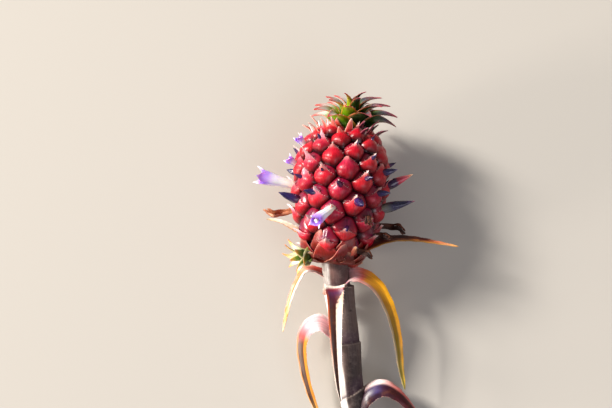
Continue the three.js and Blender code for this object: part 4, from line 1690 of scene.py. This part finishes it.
@dataclass
class Stalk:
    """The mealy stalk with the wrapped sheaths of its leaves.

    Each sheath ends at a share of the length from the cut up, with a slant and the way that it
    slants. Each scar has its share of the length, its angle round the stalk and its size.
    """

    length: float = 69.5
    lean: float = 9.4
    cut_radius: float = 4.35
    top_radius: float = 5.15
    sheath_step: float = 0.5
    sheath_share: float = 0.14
    overlap: float = 1.1
    sheaths: tuple[float, ...] = (0.06, 0.21, 0.42, 0.72)
    slants: tuple[float, ...] = (0.035, 0.022, 0.004, 0.008)
    turns: tuple[float, ...] = (0.4, 1.57, 2.6, -0.4)
    scars: tuple[tuple[float, float, float], ...] = (
        (0.58, 3.9, 0.5), (0.47, 4.1, 0.32), (0.25, 3.6, 0.28), (0.34, 3.3, 0.3), (0.66, 3.4, 0.25),
    )
    straight_share: float = 0.45
    neck: float = 7.0
    rings: int = 220
    columns: int = 64

    def middle(self, t: Array) -> Array:
        """The middle line of the stalk.

        Args:
            t: shares of it from the cut up.

        Returns:
            The points there.
        """
        foot = np.array([self.lean, 0, -self.length])
        top = np.array([0, 0, HEAD.seat - 0.3])
        lean = unit(foot)
        down = np.array([-math.sin(HEAD.lean), 0, -math.cos(HEAD.lean)])
        a, b = foot - lean * self.straight_share * self.length, top + down * self.neck
        t = np.asarray(t, float)[..., None]
        return (1 - t) ** 3 * foot + 3 * t * (1 - t) ** 2 * a + 3 * t**2 * (1 - t) * b + t**3 * top

    def build(self, effects: Effects) -> None:
        """Makes the stalk.

        Args:
            effects: the shared node groups.
        """
        t = np.linspace(0, 1, self.rings)
        middle = self.middle(t)
        along = unit(np.gradient(middle, axis=0))
        across = unit(np.array([0.0, 1.0, 0.0]) - along * along[:, 1:2])
        face = np.cross(across, along)
        angle = around(self.columns)[None, :]
        radius = self.cut_radius + (self.top_radius - self.cut_radius) * t[:, None] + 0 * angle
        radius = radius - 0.12 * ease(0.008, 0.0, t)[:, None]
        wrapped = ease(0.2, 0.5, t) * (1 - ease(0.715, 0.735, t))
        radius = radius + self.overlap * wrapped[:, None] * np.maximum(-np.sin(angle), 0)
        # Painted light: the stalk's left side takes the lit colours and its right side the dim ones, as
        # painted shade.
        sun = ease(-0.2, 0.9, np.sin(angle)) + 0 * t[:, None]
        high = ease(0.68, 0.76, t)[:, None]
        low = ease(0.1, 0.6, t)[:, None]
        lit = blend(blend(linear("503f3e"), "a08880", low[..., None]), "8e665e", high[..., None])
        dim = blend(blend(linear("2e2424"), "665450", low[..., None]), "5c4442", high[..., None])
        # A near-white painted highlight runs down the stalk's left edge, where the light falls.
        meal_and_painted_highlight = ease(0.42, 0.6, np.sin(angle)) + 0 * t[:, None]
        tint = blend(dim + (lit - dim) * sun[..., None], "fbf4ee", (0.94 * meal_and_painted_highlight)[..., None])
        for at, side, size in self.scars:
            gap = ((t[:, None] - at) * self.length) ** 2 + ((angle - side) * self.top_radius * 0.8) ** 2
            tint = blend(tint, "1c1012", (0.85 * np.exp(-gap / size**2))[..., None])
        for at, slant, turn in zip(self.sheaths, self.slants, self.turns):
            rim = at + slant * np.cos(angle + turn)
            below = rim - t[:, None]
            step = np.where(below >= 0, np.maximum(0, 1 - below / self.sheath_share), 0) ** 1.4
            radius = radius + self.sheath_step * step
            lip = np.exp(-((below / 0.004) ** 2)) * (below >= 0)
            tint = blend(tint, "b8a498", (0.6 * lip)[..., None])
            # A thin dark line just above each sheath's lip is a painted shadow, and the stalk is painted
            # darker a little way above it.
            under = np.exp(-(((below + 0.008) / 0.008) ** 2)) * (below < 0)
            tint = blend(tint, "2c1620", (0.85 * under)[..., None])
            darker_above_lip = ease(-0.05, 0.0, -np.abs(below + 0.03)) * (below < 0)
            tint = blend(tint, "4c3444", (0.5 * darker_above_lip)[..., None])
        rings = (
            middle[:, None]
            + across[:, None] * (radius * np.cos(angle))[..., None]
            - face[:, None] * (radius * np.sin(angle))[..., None]
        )
        heights = np.repeat(t[:, None] * self.length, self.columns, 1)
        fibre = np.stack([np.repeat(angle * 4.5, self.rings, 0), heights], -1)
        pile = Pile()
        pile.tube(rings, tint, fibre)
        pile.object("stalk_and_sheaths", Look.STALK.made(effects), "stalk_skin", "stalk")


@dataclass(frozen=True)
class LeafPlan:
    """A leaf of the stalk or a long bract: its route, sizes and colours."""

    name: str
    nodes: tuple[str, ...]
    slot: str
    route: tuple[tuple[float, float, float], ...]
    across: tuple[tuple[float, float, float], tuple[float, float, float]]
    width: float
    channel: float
    colours: BladeColours
    thickness: float = 0.8
    tooth: float = 0.55

    def build(self, effects: Effects) -> None:
        """Makes the leaf.

        Args:
            effects: the shared node groups.
        """
        pile = Pile()
        across = tuple(unit(np.array(direction)) for direction in self.across)
        Blade(
            Route(self.route), across, self.width, self.thickness, self.channel, self.colours,
            rings=96, columns=21, tooth=self.tooth, tooth_gap=1.0, wave=0.12,
        ).build(pile)
        pile.object(self.name, Look.LEAF.made(effects), self.slot, *self.nodes)


UPPER_LEFT_LEAF = BladeColours(
    face=Gradient("0 c83c3c 20 e06050 32 f0a890 42 e8824c 60 d8702c 85 d8902c 100 ecc89a"),
    back=Gradient("0 b83030 20 d04c38 35 d8662c 60 d07a2c 85 d8a03c 100 ecc89a"),
    left=Gradient("0 e8a8a0 30 fbe6e2 65 f8dcd4 85 e0a048 100 f0d0a8"),
    right=Gradient("0 e08a80 40 e89a84 70 e0805c 100 ecc89a"),
    teeth=plain("f8dcd6"), left_edge=0.05, right_edge=0.8,
)
# Painted light: the half that takes the left margin's colours is painted cream as the lit half; the face is
# the leaf's maroon, painted darker as shade in the channel, with a painted violet sheen near its top.
FRONT_LEAF = BladeColours(
    face=Gradient("0 c8a090 20 f6e6d8 29 f8ece0 32 8a2434 37 562448 44 4c1828 50 3c1408 100 241006"),
    back=Gradient("0 c8a090 22 6a2030 40 52203c 60 341412 100 30180e"),
    left=Gradient("0 c88a7a 20 f6e6d8 38 f0c4a8 50 f4d8c4 60 f8e8dc 100 f8ece6"),
    right=Gradient("0 c88a7a 20 f6e6d8 29 f8ece0 33 7a2430 44 a8481c 60 c8602c 80 f0d8c8 100 f6e8dc"),
    teeth=plain("f6dcd2"), left_edge=-0.12, right_edge=0.7, left_from=(0.35, 0.5), ragged=0.14,
)
# The blade is golden, with its outer half, which takes the left margin's colours, painted brighter as a
# highlight and its olive middle darker as painted shade; the pink foot is painted paler to make up for the
# shade it lies in.
RIGHT_LEAF = BladeColours(
    face=Gradient("0 e8788a 6 ffd8dc 18 ffc0c4 24 ec7068 28 d88c28 34 cc8a1c 50 bc821c 70 947418 100 9a8c24"),
    back=Gradient("0 b04050 18 f0b0b4 26 dc8a48 45 d8982c 70 9a8028 100 a8982c"),
    left=Gradient("0 d03a68 12 f8c8cc 22 e0705c 30 f0a020 45 fcb41c 70 e09820 100 b89a2c"),
    right=Gradient("0 d03a68 12 fbe0de 24 d89088 50 b8a080 80 a89870 100 b8a860"),
    teeth=Gradient("0 d02868 22 dc4070 40 f0a890 100 e8b888"),
    left_edge=0.25, right_edge=0.5,
)
# The dark brown middle of the face is painted shade inside the channel, between the golden margins.
LOWER_LEFT_LEAF = BladeColours(
    face=Gradient("0 c86a70 14 e08c92 26 ecc0c4 36 e08c98 44 b04440 50 462006 80 3c1a06 100 b08430"),
    back=Gradient("0 e09a9c 20 f4d0d0 36 e09a98 48 d8982c 75 dc9c28 100 d8b060"),
    left=Gradient("0 dc8c92 30 eec4c8 40 e498a0 47 cc801c 80 c07a18 100 dcae68"),
    right=Gradient("0 ecacb0 30 f8e2e2 42 e88a80 50 d07828 80 e0a060 100 e8d0b0"),
    teeth=Gradient("0 fbe4e4 45 fbe4e4 55 e8b890 100 e8b890"),
    left_edge=0.12, right_edge=0.7,
)
# Painted light: the half that takes the left margin's colours is painted pink-white as the lit top of the
# arch, and a violet sheen is painted on the arch; the rest keeps the leaf's dark maroon.
LOWER_RIGHT_LEAF = BladeColours(
    face=Gradient("0 280c12 16 341428 26 403264 34 341430 44 320a12 60 380a10 100 5c2c20"),
    back=Gradient("0 3a1420 40 4a2448 70 4c1c22 100 5c2c20"),
    left=Gradient("0 c86a70 14 f4c8c8 30 fdf2f0 42 f49a94 55 e0605c 80 b8484c 100 a85a4a"),
    right=Gradient("0 2c0c14 30 30142c 50 380c16 70 501820 100 8a4a3c"),
    teeth=Gradient("0 f6c8c0 40 f0a8a0 100 c87068"),
    left_edge=0.08, right_edge=0.55,
)
BACK_LEAF = BladeColours(
    face=Gradient("0 b05058 30 c88a50 100 b89840"),
    back=Gradient("0 c06a6a 30 d09a48 100 c0a040"),
    left=plain("e0a890"), right=plain("e0a890"), teeth=plain("ecc0b0"),
)
LONG_BRACT = BladeColours(
    face=Gradient("0 8a3028 30 5c2418 55 6a3416 62 c87028 66 7a3c18 80 c8702c 90 e89a78 100 f0b060"),
    back=Gradient("0 b06040 30 a8702c 65 7c5a20 80 e08a3c 100 e8b060"),
    left=Gradient("0 4c1c14 50 2c0c0a 72 4a1814 82 e0805c 100 f0b060"),
    right=Gradient("0 c07850 30 b07a34 60 9a6c20 80 c08a40 100 f0b060"),
    teeth=Gradient("0 3c1410 75 3c1410 100 e8b080"),
    left_edge=0.0, right_edge=0.45,
)
PALE_BRACT = BladeColours(
    face=Gradient("0 d88a60 35 f0d4b4 70 f8ecd8 90 e0c8a0 100 b89a70"),
    back=Gradient("0 d89a70 60 e8cfae 90 d0a878 100 c89a60"),
    left=plain("c88a58"), right=plain("fbf2e4"), teeth=plain("f0dcc0"),
)
LEAVES = (
    LeafPlan(
        name="leaf_upper_left_blade", nodes=("leaf_upper_left",), slot="pale_leaf",
        route=(
            (-2, 1, -6.5), (-7.2, 1.6, -3.6), (-11, 1.6, -3.4), (-14, 1, -7.4), (-16.6, 0, -13.4),
            (-18.4, -1, -20), (-19.8, -2, -26.5),
        ),
        across=((0.15, 0.85, 0.5), (-0.81, 0.5, 0.25)),
        width=5.6, channel=0.35, colours=UPPER_LEFT_LEAF,
    ),
    LeafPlan(
        name="leaf_front_blade", nodes=("leaf_front",), slot="maroon_leaf",
        route=(
            (0, -2.5, -13), (0, -6.2, -9.4), (-0.2, -8.1, -9.4), (0, -9, -13), (0.1, -8.9, -22),
            (0.6, -7.6, -34), (1.4, -6.5, -45), (2.2, -6, -52.4),
        ),
        across=((-1, 0, 0), (-0.97, 0.26, 0)),
        width=9.4, channel=0.3, colours=FRONT_LEAF,
    ),
    LeafPlan(
        name="leaf_right_blade", nodes=("leaf_right_a", "leaf_right_b"), slot="pale_leaf",
        route=(
            (3, 0, -8.4), (6.4, -0.6, -5.6), (10.8, -1.6, -6), (15.6, -2.3, -9.4), (19.6, -2.8, -16),
            (22.2, -3, -23.5), (23.8, -3, -31.5), (24.8, -3, -40), (26.4, -3, -48.3),
        ),
        across=((-0.2, -0.7, -0.7), (-1, -0.3, -0.1)),
        width=9, channel=0.3, colours=RIGHT_LEAF,
    ),
    LeafPlan(
        name="leaf_lower_left_blade", nodes=("leaf_lower_left_a", "leaf_lower_left_b"), slot="pale_leaf",
        route=(
            (1.5, -2.5, -30), (-2.4, -4.4, -25.4), (-6.4, -4.6, -23.1), (-10.4, -4, -25.6),
            (-12.1, -3.4, -31), (-11.6, -2.8, -39), (-9.6, -2.4, -48), (-6.6, -2.2, -56.5), (-3.4, -2, -64),
        ),
        across=((0, 0.5, 0.85), (-0.85, 0.5, 0)),
        width=9.6, channel=0.25, colours=LOWER_LEFT_LEAF,
    ),
    LeafPlan(
        name="leaf_lower_right_blade", nodes=("leaf_lower_right_a", "leaf_lower_right_b"), slot="maroon_leaf",
        route=(
            (7, -1, -56), (12, -3, -49), (18, -4, -46.6), (23.5, -4.4, -49), (28.5, -4.4, -54),
            (32.5, -4, -60), (35, -3.4, -66),
        ),
        across=((0, -0.6, -0.8), (-0.1, -0.7, -0.7)),
        width=10.6, channel=-0.35, colours=LOWER_RIGHT_LEAF,
    ),
    LeafPlan(
        name="leaf_back_blade", nodes=("leaf_back",), slot="pale_leaf",
        route=(
            (0.6, 2.5, -19), (0.4, 6.2, -15.4), (0.5, 8, -15.8), (0.9, 8.4, -20), (1.8, 7.4, -28),
            (3, 6.4, -37), (4, 6, -44),
        ),
        across=((1, 0, 0), (1, 0, 0)),
        width=6, channel=0.3, colours=BACK_LEAF,
    ),
    LeafPlan(
        name="long_right_bract", nodes=("bract_right",), slot="bract",
        route=(
            (7.5, -5, 3.2), (12, -5.2, 5.4), (20.9, -4.6, 8.5), (29.6, -4, 8.6), (38, -3.4, 7.4),
            (46.7, -3, 5.9),
        ),
        across=((0, -0.62, -0.78), (0, -0.62, -0.78)),
        width=4.8, channel=0.4, thickness=0.75, colours=LONG_BRACT, tooth=0.4,
    ),
    LeafPlan(
        name="pale_left_bract", nodes=("bract_left",), slot="cream_bract",
        route=(
            (-9.5, -3.5, 9.8), (-15, -4.2, 12.6), (-20.5, -4.2, 15.4), (-26, -3.6, 16.4),
        ),
        across=((0.05, 0.4, 0.9), (0.05, 0.4, 0.9)),
        width=3.4, channel=0.3, thickness=0.6, colours=PALE_BRACT, tooth=0.2,
    ),
)


# The room and the camera.


@dataclass
class Studio:
    """The pale floor, the soft lights and the camera over the lying stem."""

    middle: tuple[float, float, float] = (-11.02, 0.0, 22.04)
    distance: float = 0.6
    shown_width: float = 0.2326
    sensor: float = 36.0
    floor: str = "b9b4ad"
    sky_strength: float = 0.27

    def build_floor(self) -> None:
        """Lays the floor."""
        bpy.ops.mesh.primitive_grid_add(x_subdivisions=8, y_subdivisions=8, size=6)
        made = bpy.context.object
        made.name = "floor"
        look = bpy.data.materials.new("pale_floor")
        look.use_nodes = True
        matt = {"Base Color": (*linear(self.floor), 1), "Roughness": 0.9, "Specular IOR Level": 0.1}
        Tree(look.node_tree).put(look.node_tree.nodes["Principled BSDF"], matt)
        made.data.materials.append(look)

    def add_light(
        self, name: str, place: tuple[float, float, float], size: float, power: float, code: str
    ) -> None:
        """Adds a soft square light that faces the stem.

        Args:
            name: its name.
            place: where it stands, in metres.
            size: its side, in metres.
            power: its power in watts.
            code: its colour.
        """
        lamp = bpy.data.lights.new(name, "AREA")
        lamp.size = size
        lamp.energy = power
        lamp.color = tuple(linear(code))
        made = bpy.data.objects.new(name, lamp)
        made.location = place
        made.rotation_euler = (-Vector(place)).to_track_quat("-Z", "Y").to_euler()
        bpy.context.scene.collection.objects.link(made)

    def build(self) -> None:
        """Makes the floor, the camera, the lights and the sky."""
        self.build_floor()
        self.build_camera()
        self.add_light("window", (-2.05, 1.05, 1.3), 0.55, 148.0, "fffaf2")
        self.add_light("side_light", (-2.2, -0.5, 0.5), 0.5, 38.0, "fff4e8")
        self.add_light("sky_light", (0.6, -0.6, 1.0), 0.8, 5.5, "f6f4ff")
        world = bpy.data.worlds.new("room")
        world.use_nodes = True
        sky = {"Color": (*linear("f2f1ee"), 1), "Strength": self.sky_strength}
        Tree(world.node_tree).put(world.node_tree.nodes["Background"], sky)
        bpy.context.scene.world = world
        bpy.context.scene.view_settings.view_transform = "Standard"

    def build_camera(self) -> None:
        """Sets the camera square over the lying stem, as the upright plant was seen."""
        lens = bpy.data.cameras.new("camera")
        lens.sensor_width = self.sensor
        lens.lens = self.sensor * self.distance / self.shown_width
        made = bpy.data.objects.new("camera", lens)
        turn = LYING.turn
        back = turn @ np.array([0.0, -1.0, 0.0])
        frame_axes = np.stack([turn @ np.array([1.0, 0, 0]), turn @ UP, back], axis=1)
        spot = LYING.place(np.array([self.middle]))[0] + back * self.distance
        made.matrix_world = Matrix.Translation(spot) @ Matrix(frame_axes.tolist()).to_4x4()
        bpy.context.scene.collection.objects.link(made)
        bpy.context.scene.camera = made


def main() -> None:
    """Builds every part of the stem in order."""
    logging.basicConfig(level=logging.INFO, format="%(message)s")
    effects = Effects()
    spiral = Spiral()
    Stalk().build(effects)
    Fruit(spiral).build(effects)
    Flowers(spiral).build(effects)
    crown().build(effects)
    slip().build(effects)
    for plan in LEAVES:
        plan.build(effects)
    Studio().build()


if __name__ == "__main__":
    main()
